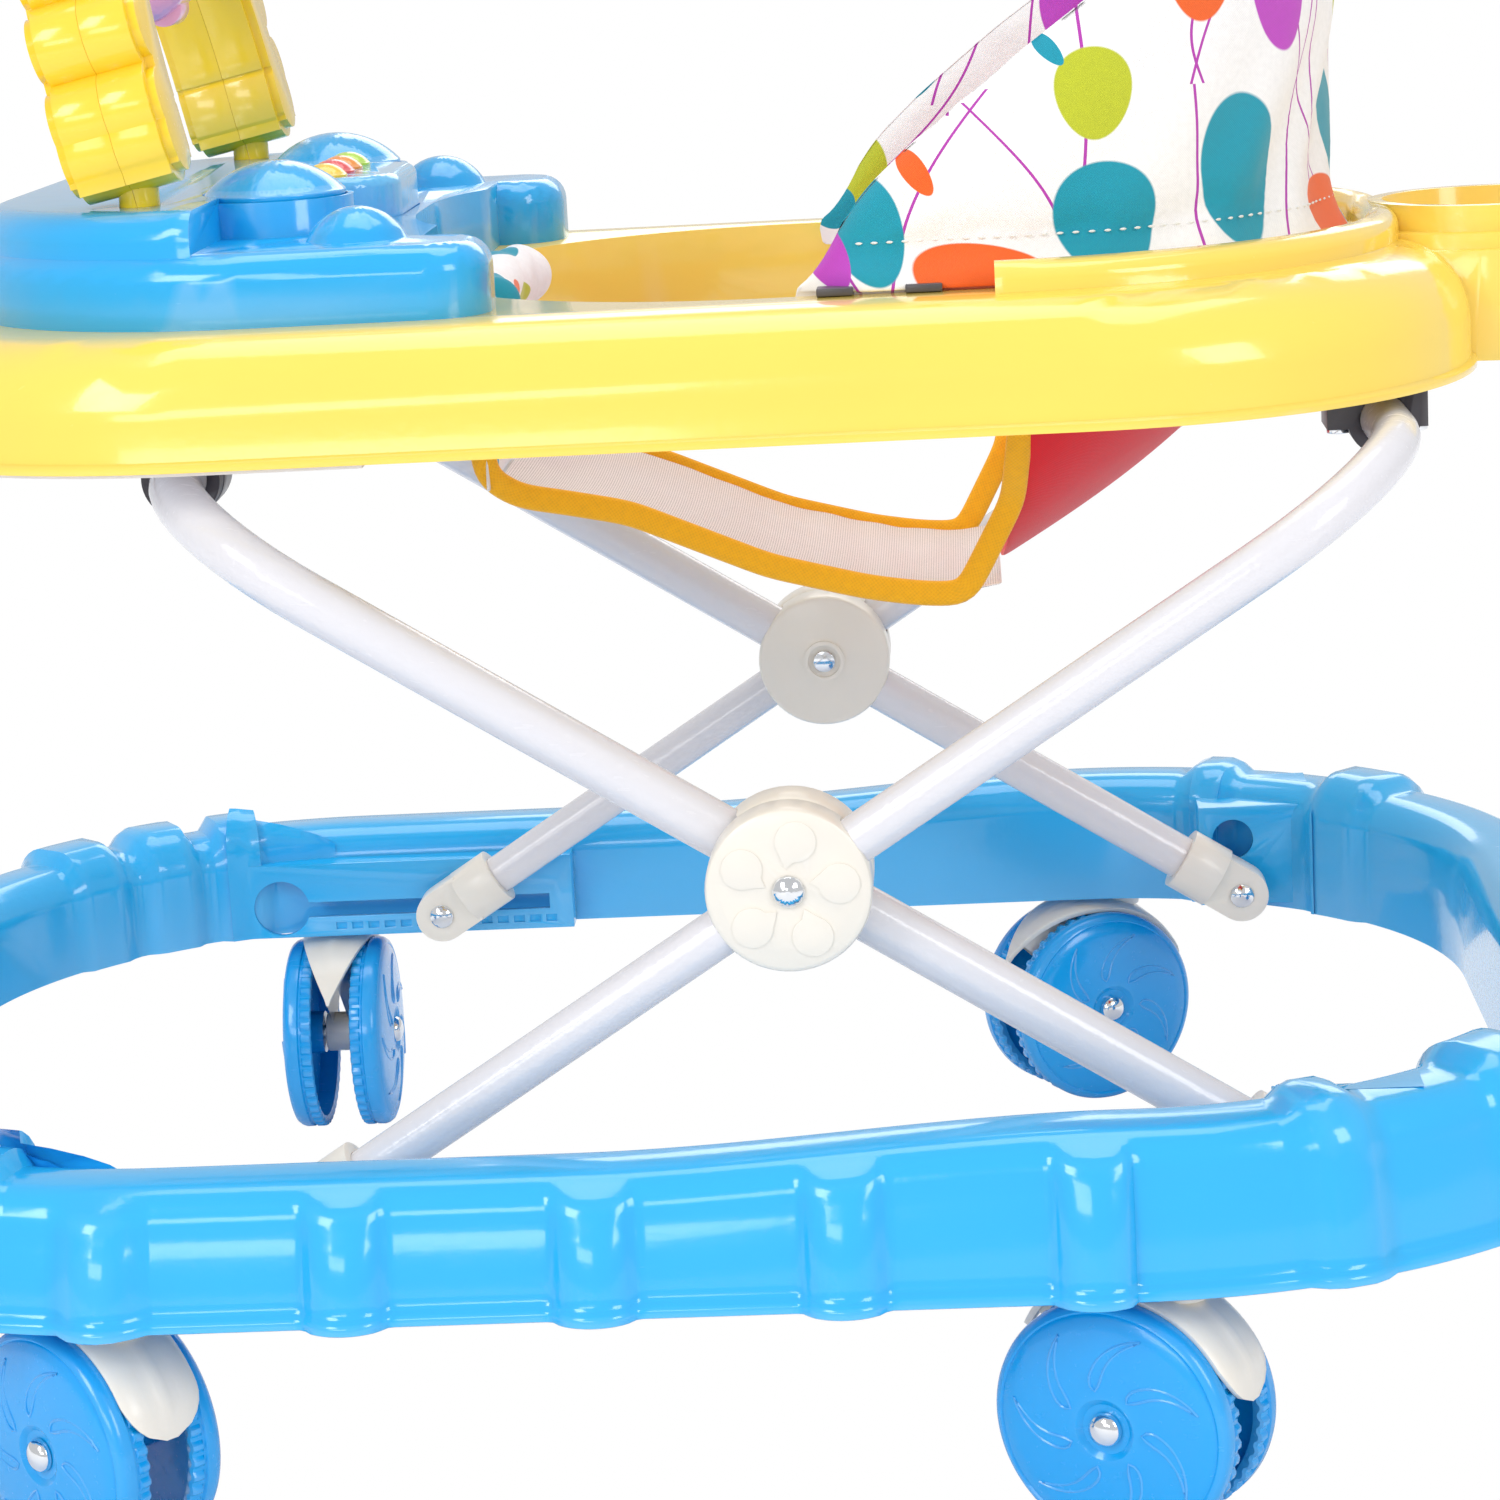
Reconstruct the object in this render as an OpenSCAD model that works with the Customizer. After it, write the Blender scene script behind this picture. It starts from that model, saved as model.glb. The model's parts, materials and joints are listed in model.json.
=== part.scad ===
// Folding baby walker. Front is -X, rear is +X, the floor is z = 0, the walker is symmetric about y = 0.

/* [Base ring] */
// overall length of the floor ring
base_l = 690; // [640:5:830]
// overall width of the floor ring
base_w = 540; // [500:5:650]
// outer corner radius of the floor ring in plan
base_r = 190; // [175:5:195]
// height of the ring moulding
ring_h = 52; // [48:1:62]
// wall thickness of the moulded shells
wall = 3; // [2.4:0.1:3.6]

/* [Casters] */
// wheel diameter
wheel_d = 82; // [76:1:98]
// horizontal distance from the swivel stem to the axle
trail = 18; // [15:1:21]

/* [Folding frame] */
// distance from the hub to each foot
arm_low = 200; // [190:1:205]
// distance from the hub to each cross bar
arm_up = 240; // [225:1:260]
// angle of the arms above the floor as shown
rest_angle = 32.5; // [28:0.5:36]
// tube diameter of the frame that stands on the front feet
front_tube_d = 16; // [14:0.5:16]
// tube diameter of the frame that stands on the rear feet
rear_tube_d = 18; // [15:0.5:18]
// hub diameter
hub_d = 54; // [48:1:60]

/* [Tray] */
// tray length without the cup holder
tray_l = 568; // [560:2:640]
// tray width
tray_w = 372; // [366:2:420]
// height of the tray skirt and shoulder
tray_h = 42; // [40:1:50]
// diameter of the cup holder bore
cup_d = 76; // [66:1:80]

/* [Seat and toys] */
// top of the seat back above the tray deck
back_h = 195; // [165:1:235]
// radius of the play arch band
arch_r = 110; // [104:1:112]

/* [Hidden] */
$fn = 72;
ring_z = 88;
foot_z = 100;
ca = cos(rest_angle);
sa = sin(rest_angle);
ring_w = 46;
seam_y = base_w / 2 - 80;
front_y = seam_y + 0.2 + front_tube_d / 2;
rear_y = seam_y - 0.3 - rear_tube_d / 2;
rear_foot_x = base_l / 2 - 126.3;
hub_x = rear_foot_x - arm_low * ca;
hub_z = foot_z + arm_low * sa;
front_foot_x = hub_x - arm_low * ca;
bar_z = hub_z + arm_up * sa;
rear_bar_x = hub_x + arm_up * ca;
front_bar_x = hub_x - arm_up * ca;
tray_x = rear_bar_x - 246.4;
tray_z = bar_z + 11.6;
deck_z = tray_z + tray_h;
tray_r = 140;
bend_r = 60;
axle_z = wheel_d / 2;
wr = wheel_d / 2;
hood_top = ring_z - 1.4;
cast_y = base_w / 2 - 25.5;
cast_end = base_l / 2 - 24.5;
cast_x = [-170, 170, -170, 170, -cast_end, cast_end];
cast_yy = [-cast_y, -cast_y, cast_y, cast_y, 0, 0];
cast_yaw = [-42, -28, 90, 28, 70, 250];
low_fold = 8;
high_raise = 42;
slot_a = rear_foot_x - 2 * arm_low * cos(low_fold) - 4;
slot_b = rear_foot_x - 2 * arm_low * cos(high_raise) + 4;
key_x = slot_a - 9;
block_y = front_y + front_tube_d / 2 + 5;
pad_y = rear_y + rear_tube_d / 2 + 5.2;
open_c = 82.5;
open_l = 319;
console_x = 9;
open_w = 276;
open_r = 120;

blue = [0.25, 0.68, 0.95];
yellow = [0.98, 0.88, 0.35];
gold = [0.97, 0.75, 0.1];
cream = [0.95, 0.93, 0.88];
white = [0.95, 0.95, 0.96];
black = [0.08, 0.07, 0.09];
chrome = [0.8, 0.82, 0.85];

function arc(cx, cz, r, a0, a1, n) = [for (i = [0 : n]) [
  cx + r * cos(a0 + (a1 - a0) * i / n),
  cz + r * sin(a0 + (a1 - a0) * i / n)
]];

// sweeps a profile drawn as (distance from corner centre, height) round a rounded rectangle
module sweep_rr(l, w, r) {
  for (i = [0 : 3]) {
    translate([(i == 0 || i == 3 ? 1 : -1) * (l / 2 - r), (i < 2 ? 1 : -1) * (w / 2 - r), 0])
      rotate([0, 0, i * 90])
        rotate_extrude(angle = 90)
          children();
  }
  for (s = [0, 1]) {
    mirror([0, s, 0])
      translate([-(l / 2 - r), w / 2 - r, 0])
        rotate([90, 0, 90])
          linear_extrude(l - 2 * r)
            children();
    mirror([s, 0, 0])
      translate([l / 2 - r, w / 2 - r, 0])
        rotate([90, 0, 0])
          linear_extrude(w - 2 * r)
            children();
  }
}

// solid rounded rectangle with a rounded top edge
module rr_block(l, w, r, h, f) {
  sweep_rr(l, w, r)
    polygon(concat([[0, 0], [r, 0]], arc(r - f, h - f, f, 0, 90, 7), [[0, h]]));
  translate([-(l / 2 - r), -(w / 2 - r), 0])
    cube([l - 2 * r, w - 2 * r, h]);
}

module both_sides() {
  children();
  mirror([0, 1, 0])
    children();
}

// ---------------------------------------------------------------- base ring

module ring_profile(inset, lip) {
  r0 = base_r - ring_w + inset;
  r1 = base_r - 3 - inset;
  h = ring_h - inset;
  f = 14 - inset;
  b = inset > 0 ? -2 : 0;
  polygon(concat(
    [[r0, b]],
    lip > 0 ? [[r1 + lip, b], [r1 + lip, 2.6], [r1 + lip - 1, 4], [r1, 5]] : [[r1, b]],
    arc(r1 - f, h - f, f, 0, 90, 6),
    arc(r0 + f, h - f, f, 90, 180, 6)
  ));
}

module collar_profile(g) {
  r0 = base_r - ring_w - g;
  r1 = base_r - 3 + g;
  h = ring_h + g;
  f = 14 + g;
  polygon(concat(
    [[r0, 0], [r1, 0]],
    arc(r1 - f, h - f, f, 0, 90, 6),
    arc(r0 + f, h - f, f, 90, 180, 6)
  ));
}

module collar_at(a, width, g) {
  translate([base_l / 2 - base_r, base_w / 2 - base_r, 0])
    rotate([0, 0, 90 - a - width / 2])
      rotate_extrude(angle = width)
        collar_profile(g);
}

module knuckle(x) {
  translate([x, -(base_w / 2 - 3 - 8.5), 0]) {
    cylinder(r = 13.5, h = ring_h - 15);
    translate([0, 0, ring_h - 15])
      sphere(r = 13.5);
    cylinder(r = 16.5, h = 4);
  }
}

module base_ring() {
  color(blue)
    translate([0, 0, ring_z])
      difference() {
        union() {
          difference() {
            union() {
              sweep_rr(base_l, base_w, base_r)
                ring_profile(0, 3);
              both_sides()
                for (i = [-2 : 2])
                  knuckle(-14 + i * 78.4);
              both_sides() {
                collar_at(21, 5, 4);
                collar_at(46, 9, 4);
                mirror([1, 0, 0]) {
                  collar_at(21, 6, 4);
                  collar_at(33, 7, 4);
                  collar_at(47, 8, 4);
                }
              }
              both_sides()
                translate([key_x - 16, block_y, 0])
                  cube([slot_b - key_x + 26, base_w / 2 - ring_w + 1 - block_y, 32]);
            }
            sweep_rr(base_l, base_w, base_r)
              ring_profile(wall, 0);
            both_sides()
              translate([key_x - 13, block_y + wall, -1])
                cube([slot_b - key_x + 20, base_w / 2 - ring_w + wall - block_y, 30]);
          }
          difference() {
            both_sides()
              difference() {
                translate([rear_foot_x - 16, pad_y, 3])
                  cube([45, 22, 42]);
                translate([rear_foot_x - 13, pad_y + wall, -1])
                  cube([39, 30, 43]);
              }
            sweep_rr(base_l, base_w, base_r)
              ring_profile(wall, 0);
          }
          for (i = [0 : 5])
            translate([cast_x[i], cast_yy[i], 0.5])
              cylinder(r = 9, h = ring_h - 2);
        }
        both_sides() {
          translate([key_x, block_y - 1, 13])
            rotate([-90, 0, 0])
              cylinder(r = 12, h = 8);
          translate([slot_a - 8, block_y - 1, foot_z - ring_z - 3.3])
            cube([slot_b - slot_a + 8, 8, 6.6]);
          for (i = [0 : 13])
            translate([slot_a + 14 + i * 7, block_y - 1, 3])
              cube([4.6, 2, 3]);
          translate([rear_foot_x, pad_y - 1, foot_z - ring_z])
            rotate([-90, 0, 0])
              cylinder(r = 3.05, h = 8);
          translate([rear_foot_x - 2, pad_y - 1, 31])
            rotate([-90, 0, 0])
              cylinder(r = 8.5, h = 8);
        }
        for (i = [0 : 5])
          translate([cast_x[i], cast_yy[i], -1])
            cylinder(r = 4.05, h = 41);
      }
}

// ------------------------------------------------------------------ casters

module place_caster(i) {
  translate([cast_x[i], cast_yy[i], 0])
    rotate([0, 0, cast_yaw[i]])
      children();
}

module wedge(a0, a1, r, t) {
  translate([0, t / 2, 0])
    rotate([90, 0, 0])
      linear_extrude(t)
        polygon([[0, 0],
          [r * cos(a0), r * sin(a0)],
          [1.2 * r * cos((2 * a0 + a1) / 3), 1.2 * r * sin((2 * a0 + a1) / 3)],
          [1.2 * r * cos((a0 + 2 * a1) / 3), 1.2 * r * sin((a0 + 2 * a1) / 3)],
          [r * cos(a1), r * sin(a1)]]);
}

module across(r, t) {
  translate([0, t / 2, 0])
    rotate([90, 0, 0])
      cylinder(r = r, h = t);
}

module hood() {
  ho = hood_top - axle_z;
  color(cream)
    difference() {
      union() {
        translate([-trail, 0, axle_z]) {
          intersection() {
            difference() {
              across(ho, 30);
              across(ho - 3, 32);
            }
            wedge(16, 148, 80, 34);
          }
          intersection() {
            across(ho - 1, 8);
            wedge(30, 140, 80, 10);
          }
          across(8.5, 14);
        }
        translate([0, 0, axle_z + 30])
          cylinder(r = 6, h = 12);
        translate([0, 0, hood_top - 6])
          cylinder(r = 8.5, h = 6.6);
        translate([0, 0, hood_top - 2])
          cylinder(r = 4, h = 40);
      }
      translate([-trail, 0, axle_z])
        across(3.05, 20);
    }
}

module wheels() {
  color(blue)
    translate([-trail, 0, axle_z])
      for (s = [0, 1])
        mirror([0, s, 0])
          rotate([-90, 0, 0])
            rotate_extrude()
              polygon([[3.03, 8.2], [9, 8.2], [9.5, 18.5], [wr - 4.6, 16.6], [wr - 3.6, 8.6], [wr - 1, 8],
                [wr, 9.4], [wr, 17.4], [wr - 1, 19.4], [wr - 3.2, 20.8], [wr - 8, 21.6], [wr - 16, 22.6],
                [12, 23.4], [8, 23.2], [6.6, 22.2], [3.03, 22.2]]);
}

module axle() {
  color(chrome)
    translate([-trail, 0, axle_z]) {
      across(3, 46);
      for (s = [0, 1])
        mirror([0, s, 0])
          rotate([-90, 0, 0])
            rotate_extrude()
              polygon(concat([[0, 22.4], [5.4, 22.4], [5.4, 23.2]], arc(0, 19.4, 6.6, 32, 90, 6)));
    }
}

// ------------------------------------------------------------- folding frame

// local x runs along the arms, away from the feet
module on_frame(ang) {
  translate([hub_x, 0, hub_z])
    rotate([0, -ang, 0])
      children();
}

module tube_path(r, y, low) {
  both_sides() {
    translate([-low, y, 0])
      rotate([0, 90, 0])
        cylinder(r = r, h = low + arm_up - bend_r);
    translate([arm_up - bend_r, y - bend_r, 0])
      rotate_extrude(angle = 90)
        translate([bend_r, 0])
          circle(r = r);
  }
  translate([arm_up, y - bend_r, 0])
    rotate([90, 0, 0])
      cylinder(r = r, h = 2 * (y - bend_r));
}

module u_frame(ang, r, y) {
  color(white)
    on_frame(ang)
      difference() {
        tube_path(r, y, arm_low - 14);
        tube_path(r - 1.4, y, arm_low - 12);
        both_sides()
          translate([0, y - 14, 0])
            rotate([-90, 0, 0])
              cylinder(r = 3.05, h = 28);
      }
}

module foot_cap(r, y) {
  translate([-arm_low, y, 0])
    difference() {
      union() {
        translate([12, 0, 0])
          rotate([0, 90, 0])
            cylinder(r = r + 4, h = 17);
        translate([0, -7, -11])
          cube([14, 14, 22]);
        across(11, 14);
      }
      translate([13.8, 0, 0])
        rotate([0, 90, 0])
          cylinder(r = r + 0.05, h = 20);
      across(3.02, 20);
    }
}

module foot_rivet(y0, y1, y) {
  translate([-arm_low, 0, 0])
    rotate([-90, 0, 0]) {
      translate([0, 0, y0])
        cylinder(r = 3, h = y1 - y0);
      translate([0, 0, y - 7])
        rotate_extrude()
          polygon(concat([[0, -0.1], [5.2, -0.1]], arc(0, 4.4, 7.2, -48, -90, 6)));
      translate([0, 0, y1 - 2])
        cylinder(r = 7, h = 2);
      translate([0, 0, y + 7.2])
        cylinder(r = 6, h = y1 - wall - 4.4 - y - 7.2);
    }
}

module petal(a) {
  rotate([0, 0, a]) {
    translate([16.5, 2, 0])
      cylinder(r = 6.6, h = 1.2);
    linear_extrude(1.2)
      polygon([[7.5, -1], [15, -4.4], [22, 0], [16, 8.5]]);
  }
}

module hub_disc(y0, y1, ych, r) {
  difference() {
    translate([0, y1, 0])
      rotate([90, 0, 0])
        rotate_extrude()
          polygon(concat([[0, 0], [hub_d / 2 - 2, 0], [hub_d / 2 - 0.6, 0.6], [hub_d / 2, 2]],
            [[hub_d / 2, y1 - y0 - 2], [hub_d / 2 - 0.6, y1 - y0 - 0.6], [hub_d / 2 - 2, y1 - y0]],
            [[0, y1 - y0]]));
    translate([-50, ych, 0])
      rotate([0, 90, 0])
        cylinder(r = r + 0.05, h = 100);
    translate([-50, seam_y - 3 < ych ? seam_y - 3 : ych, -r - 0.05])
      cube([100, abs(ych - seam_y) + 3, 2 * r + 0.1]);
    translate([0, y0 - 1, 0])
      rotate([-90, 0, 0])
        cylinder(r = 3.05, h = y1 - y0 + 2);
  }
}

module front_foot_frame() {
  u_frame(rest_angle, front_tube_d / 2, front_y);
}

module rear_foot_frame() {
  u_frame(180 - rest_angle, rear_tube_d / 2, rear_y);
}

module front_foot_caps() {
  color(cream)
    on_frame(rest_angle)
      both_sides()
        foot_cap(front_tube_d / 2, front_y);
}

module rear_foot_caps() {
  color(cream)
    on_frame(180 - rest_angle)
      both_sides()
        foot_cap(rear_tube_d / 2, rear_y);
}

module front_foot_rivets() {
  color(chrome)
    on_frame(rest_angle)
      both_sides()
        foot_rivet(front_y - 7.2, block_y + wall + 4, front_y);
}

module rear_foot_rivets() {
  color(chrome)
    on_frame(180 - rest_angle)
      both_sides()
        foot_rivet(rear_y - 7.2, pad_y + wall + 4, rear_y);
}

module outer_hub_discs() {
  color(cream)
    on_frame(rest_angle)
      both_sides() {
        hub_disc(seam_y + 0.1, seam_y + 17, front_y, front_tube_d / 2);
        translate([0, seam_y + 16.4, 0])
          rotate([-90, 0, 0])
            for (i = [0 : 4])
              petal(i * 72 + 18);
      }
}

module inner_hub_discs() {
  color(cream)
    on_frame(180 - rest_angle)
      both_sides()
        difference() {
          union() {
            hub_disc(seam_y - 19.1, seam_y - 0.1, rear_y, rear_tube_d / 2);
            translate([0, seam_y - 18.9, 0])
              rotate([90, 0, 0])
                cylinder(r = 8.5, h = 1.4);
          }
          translate([0, seam_y - 21, 0])
            rotate([-90, 0, 0])
              cylinder(r = 3.05, h = 5);
          translate([0, seam_y - 18.9, 0])
            rotate([90, 0, 0])
              cylinder(r = 6.6, h = 2);
        }
}

module hub_rivets() {
  color(chrome)
    on_frame(rest_angle)
      both_sides()
        rotate([-90, 0, 0]) {
          translate([0, 0, seam_y - 20])
            cylinder(r = 3, h = 38);
          translate([0, 0, seam_y + 17.05])
            rotate_extrude()
              polygon(concat([[0, 0], [5.4, 0], [5.4, 0.6]], arc(0, -2.6, 6.3, 31, 90, 7)));
          translate([0, 0, seam_y - 20.6])
            cylinder(r = 4.4, h = 1.4);
        }
}

module slider_collars() {
  color(black)
    on_frame(180 - rest_angle)
      both_sides()
        translate([arm_up, rear_y - bend_r - 27, 0])
          rotate([-90, 0, 0])
            difference() {
              union() {
                cylinder(r = 13.4, h = 25);
                translate([0, 0, 8])
                  cylinder(r = 13.6, h = 9);
              }
              translate([0, 0, -1])
                cylinder(r = rear_tube_d / 2 + 0.05, h = 27);
            }
}

// ---------------------------------------------------------------------- tray

// origin at the tray centre, on the bottom edge of its skirt
module on_tray() {
  translate([tray_x, 0, tray_z])
    children();
}

module on_console() {
  translate([tray_x + console_x, 0, tray_z])
    children();
}

module tray_profile(inset, lip) {
  r1 = tray_r - 2 - inset;
  h = tray_h - inset;
  f = 26 - inset;
  b = inset > 0 ? -3 : 0;
  polygon(concat(
    [[0, b]],
    lip > 0 ? [[r1 + lip, b], [r1 + lip, 2], [r1 + lip - 0.6, 2.8], [r1, 3.4]] : [[r1, b]],
    arc(r1 - f, h - f, f, 0, 90, 8),
    [[0, h]]
  ));
}

module tray_body(inset, lip) {
  b = inset > 0 ? -3 : 0;
  sweep_rr(tray_l, tray_w, tray_r)
    tray_profile(inset, lip);
  translate([-(tray_l / 2 - tray_r), -(tray_w / 2 - tray_r), b])
    cube([tray_l - 2 * tray_r, tray_w - 2 * tray_r, tray_h - inset - b]);
}

module opening(g, z0, z1) {
  translate([open_c, 0, z0])
    linear_extrude(z1 - z0)
      difference() {
        square([open_l + 2 * g, open_w + 2 * g], center = true);
        for (i = [0 : 3]) {
          translate([(i == 0 || i == 3 ? 1 : -1) * (open_l / 2 - open_r), (i < 2 ? 1 : -1) * (open_w / 2 - open_r)])
            rotate(i * 90)
              difference() {
                square([open_r + g + 1, open_r + g + 1]);
                circle(r = open_r + g);
              }
        }
      }
}

module ridge_profile() {
  polygon(concat([[open_r + 7, -4], [open_r + 19, -4]], arc(open_r + 13, 4, 6, 0, 180, 8)));
}

module rear_ridge() {
  for (s = [0, 1])
    mirror([0, s, 0]) {
      translate([open_c + open_l / 2 - open_r, open_w / 2 - open_r, tray_h])
        rotate_extrude(angle = 90)
          ridge_profile();
      translate([open_c + open_l / 2 - open_r - 4, open_w / 2 - open_r, tray_h])
        rotate([90, 0, 90])
          linear_extrude(4)
            ridge_profile();
    }
  translate([open_c + open_l / 2 - open_r, open_w / 2 - open_r, tray_h])
    rotate([90, 0, 0])
      linear_extrude(open_w - 2 * open_r)
        ridge_profile();
}

bracket_px = [232, 258];
bracket_y = 84;
plate_screws = [[-250, 60], [-120, 150]];

module tray_shell() {
  color(yellow)
    on_tray()
      difference() {
        union() {
          difference() {
            tray_body(0, 2);
            tray_body(wall, 0);
          }
          difference() {
            opening(wall, 8, tray_h - 1);
            opening(0, 6, tray_h);
          }
          rear_ridge();
          translate([296, 0, 0]) {
            cylinder(r = cup_d / 2 + 5, h = tray_h + 10.2);
            difference() {
              union() {
                cylinder(r = cup_d / 2 + 14, h = tray_h + 1.2);
                cylinder(r = cup_d / 2 + 19.1, h = tray_h - 4);
              }
              translate([0, 0, -1])
                cylinder(r = cup_d / 2 + 11, h = tray_h - 0.8);
            }
            difference() {
              cylinder(r = cup_d / 2 + 19.1, h = tray_h - 4);
              translate([0, 0, -1])
                cylinder(r = cup_d / 2 + 16.1, h = tray_h - 5);
            }
          }
          both_sides() {
            for (x = bracket_px)
              translate([x, bracket_y + 11, 24.2])
                cylinder(r = 4.5, h = x > 250 ? tray_h - 32.4 : tray_h - 26);
            for (p = plate_screws)
              translate([p[0], p[1], 1.4])
                cylinder(r = 4.5, h = tray_h - 3.4);
          }
        }
        opening(0, 5, tray_h + 1);
        translate([296, 0, 5])
          cylinder(r = cup_d / 2, h = tray_h + 20);
        both_sides() {
          for (x = bracket_px)
            translate([x, bracket_y + 11, 20])
              cylinder(r = 2.05, h = 12);
          for (p = plate_screws)
            translate([p[0], p[1], -1])
              cylinder(r = 1.65, h = 14);
        }
      }
}

module tray_under_plate() {
  front = -tray_l / 2 + 5.6;
  color(white)
    on_tray()
      difference() {
        union() {
          translate([0, 0, -1.8])
            intersection() {
              sweep_fill(tray_l - 11.2, tray_w - 11.2, tray_r - 5.6, 3);
              translate([front - 5, -tray_w / 2, -1])
                cube([open_c - open_l / 2 - 5 - front, tray_w, 6]);
            }
          both_sides() {
            translate([-266, 24.4, -10])
              cube([18, 3, 9]);
            translate([-266, 20.4, -10])
              cube([18, 7, 1.6]);
          }
        }
        both_sides() {
          translate([-249, rear_y - bend_r - 29, -5])
            cube([200, 29, 10]);
          for (p = plate_screws)
            translate([p[0], p[1], -5])
              cylinder(r = 1.85, h = 10);
        }
      }
}

module sweep_fill(l, w, r, h) {
  linear_extrude(h)
    difference() {
      square([l, w], center = true);
      for (i = [0 : 3])
        translate([(i == 0 || i == 3 ? 1 : -1) * (l / 2 - r), (i < 2 ? 1 : -1) * (w / 2 - r)])
          rotate(i * 90)
            difference() {
              square([r + 1, r + 1]);
              circle(r = r);
            }
    }
}

module under_plate_screws() {
  color(chrome)
    on_tray()
      both_sides()
        for (p = plate_screws)
          translate([p[0], p[1], 0]) {
            translate([0, 0, -2.4])
              cylinder(r = 1.6, h = 14);
            translate([0, 0, -3.6])
              cylinder(r = 3.4, h = 1.7);
          }
}

module rear_bar_brackets() {
  bx = rear_bar_x - tray_x;
  bz = bar_z - tray_z;
  color(black)
    on_tray()
      both_sides()
        difference() {
          union() {
            translate([bx - 19, bracket_y, bz])
              cube([33.6, 22, 24 - bz]);
            translate([bx, bracket_y, bz])
              rotate([-90, 0, 0])
                cylinder(r = 12.2, h = 22);
            translate([bx - 19, bracket_y, bz - 3])
              cube([9, 22, 8]);
            translate([bx + 7, bracket_y, bz - 3])
              cube([7.6, 22, 8]);
          }
          translate([bx, bracket_y - 2, bz])
            rotate([-90, 0, 0])
              cylinder(r = front_tube_d / 2 + 0.05, h = 30);
          for (x = bracket_px)
            translate([x, bracket_y + 11, bz - 14]) {
              cylinder(r = 2.25, h = 60);
              cylinder(r = 4.3, h = 10.9);
            }
        }
}

module bracket_screws() {
  bz = bar_z - tray_z;
  color(chrome)
    on_tray()
      both_sides()
        for (x = bracket_px)
          translate([x, bracket_y + 11, 0]) {
            translate([0, 0, bz - 4])
              cylinder(r = 2, h = 35.4 - bz);
            translate([0, 0, bz - 5.4])
              cylinder(r = 4, h = 2.2);
          }
}

module height_latch() {
  color(white)
    on_tray()
      difference() {
        union() {
          translate([-268, -24, -8])
            cube([22, 48, 6]);
          translate([-278, -16, -8])
            cube([12, 32, 3.5]);
        }
        for (i = [0 : 3])
          translate([-276 + i * 2.6, -12, -9])
            cube([1.2, 24, 1.6]);
      }
}

// ------------------------------------------------------- console and music box

module console_outer(inset) {
  g = inset;
  intersection() {
    translate([-96, 0, 0])
      rr_block(300 - 2 * g, 310 - 2 * g, 110 - g, 24 - g, 9 - g / 2);
    translate([-260, -200, -5])
      cube([180 - g, 400, 60]);
  }
  both_sides()
    translate([-85, 130, 0])
      rr_block(58 - 2 * g, 50 - 2 * g, 20 - g, 24 - g, 9 - g / 2);
  intersection() {
    translate([-96, 0, 0])
      rr_block(292 - 2 * g, 300 - 2 * g, 106 - g, 38 - g, 10 - g / 2);
    translate([-260, -200, -5])
      cube([108 - g, 400, 60]);
  }
  both_sides()
    translate([-136, 70, 0])
      cylinder(r = 27 - g, h = 36 - g);
}

module console_shell() {
  color(blue)
    on_console()
      translate([0, 0, tray_h])
        difference() {
          union() {
            difference() {
              console_outer(0);
              translate([0, 0, -0.01])
                console_outer(wall);
              opening_at(8, -1, 50);
            }
            intersection() {
              difference() {
                opening_at(11, 0, 23);
                opening_at(8, -1, 60);
              }
              translate([-200, -150, 0])
                cube([142, 300, 60]);
              console_outer(0);
            }
            both_sides() {
              translate([-175, 110, 0])
                cylinder(r = 10, h = 36);
              translate([-136, 70, 27.5])
                cylinder(r = 25.5, h = 4);
              translate([-102, 115, 24])
                rotate_extrude()
                  polygon(concat([[0, -1], [17, -1]], arc(0, -7.636, 18.636, 24.2, 90, 8)));
            }
          }
          translate([-127, 0, -1])
            linear_extrude(60)
              rr2d(56.8, 84.8, 22.4);
          both_sides() {
            translate([-175, 110, 12])
              cylinder(r = 7, h = 40);
            translate([-136, 70, 31.5])
              cylinder(r = 24.9, h = 10);
            translate([-136, 70, 20])
              cylinder(r = 21.4, h = 14);
          }
        }
}

module opening_at(g, z0, z1) {
  translate([-console_x, 0, 0])
    opening(g, z0, z1);
}

module rr2d(l, w, r) {
  difference() {
    square([l, w], center = true);
    for (i = [0 : 3])
      translate([(i == 0 || i == 3 ? 1 : -1) * (l / 2 - r), (i < 2 ? 1 : -1) * (w / 2 - r)])
        rotate(i * 90)
          difference() {
            square([r + 1, r + 1]);
            circle(r = r);
          }
  }
}

module dome_button(s) {
  color(blue)
    on_console()
      translate([-136, s * 70, tray_h + 34.6]) {
        rotate_extrude()
          polygon(concat([[0, 0], [23, 0], [24.2, 1], [24.4, 3]], arc(0, -18.4, 32.4, 42, 90, 9)));
        translate([0, 0, -8])
          cylinder(r = 21, h = 8.2);
      }
}

module left_dome_button() {
  dome_button(-1);
}

module right_dome_button() {
  dome_button(1);
}

key_y = [-28.5, -9.5, 9.5, 28.5];

module music_box() {
  color(blue)
    on_console()
      translate([-127, 0, tray_h + 2.6])
        difference() {
          rr_block(56, 84, 22, 36.4, 4);
          translate([0, 0, -1])
            linear_extrude(34.4)
              rr2d(52, 80, 20);
          for (y = key_y)
            translate([2, y, 30])
              cylinder(r = 8.2, h = 20);
        }
}

module battery_door() {
  color(blue)
    on_console()
      translate([-127, 0, tray_h + 0.3]) {
        linear_extrude(2)
          rr2d(55, 83, 21);
      }
}

module batteries() {
  color([0.2, 0.2, 0.22])
    on_console()
      for (x = [-135.2, -118.8])
        translate([x, -25, tray_h + 10])
          rotate([-90, 0, 0]) {
            cylinder(r = 7.2, h = 49);
            cylinder(r = 2.7, h = 50.4);
          }
}

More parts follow.
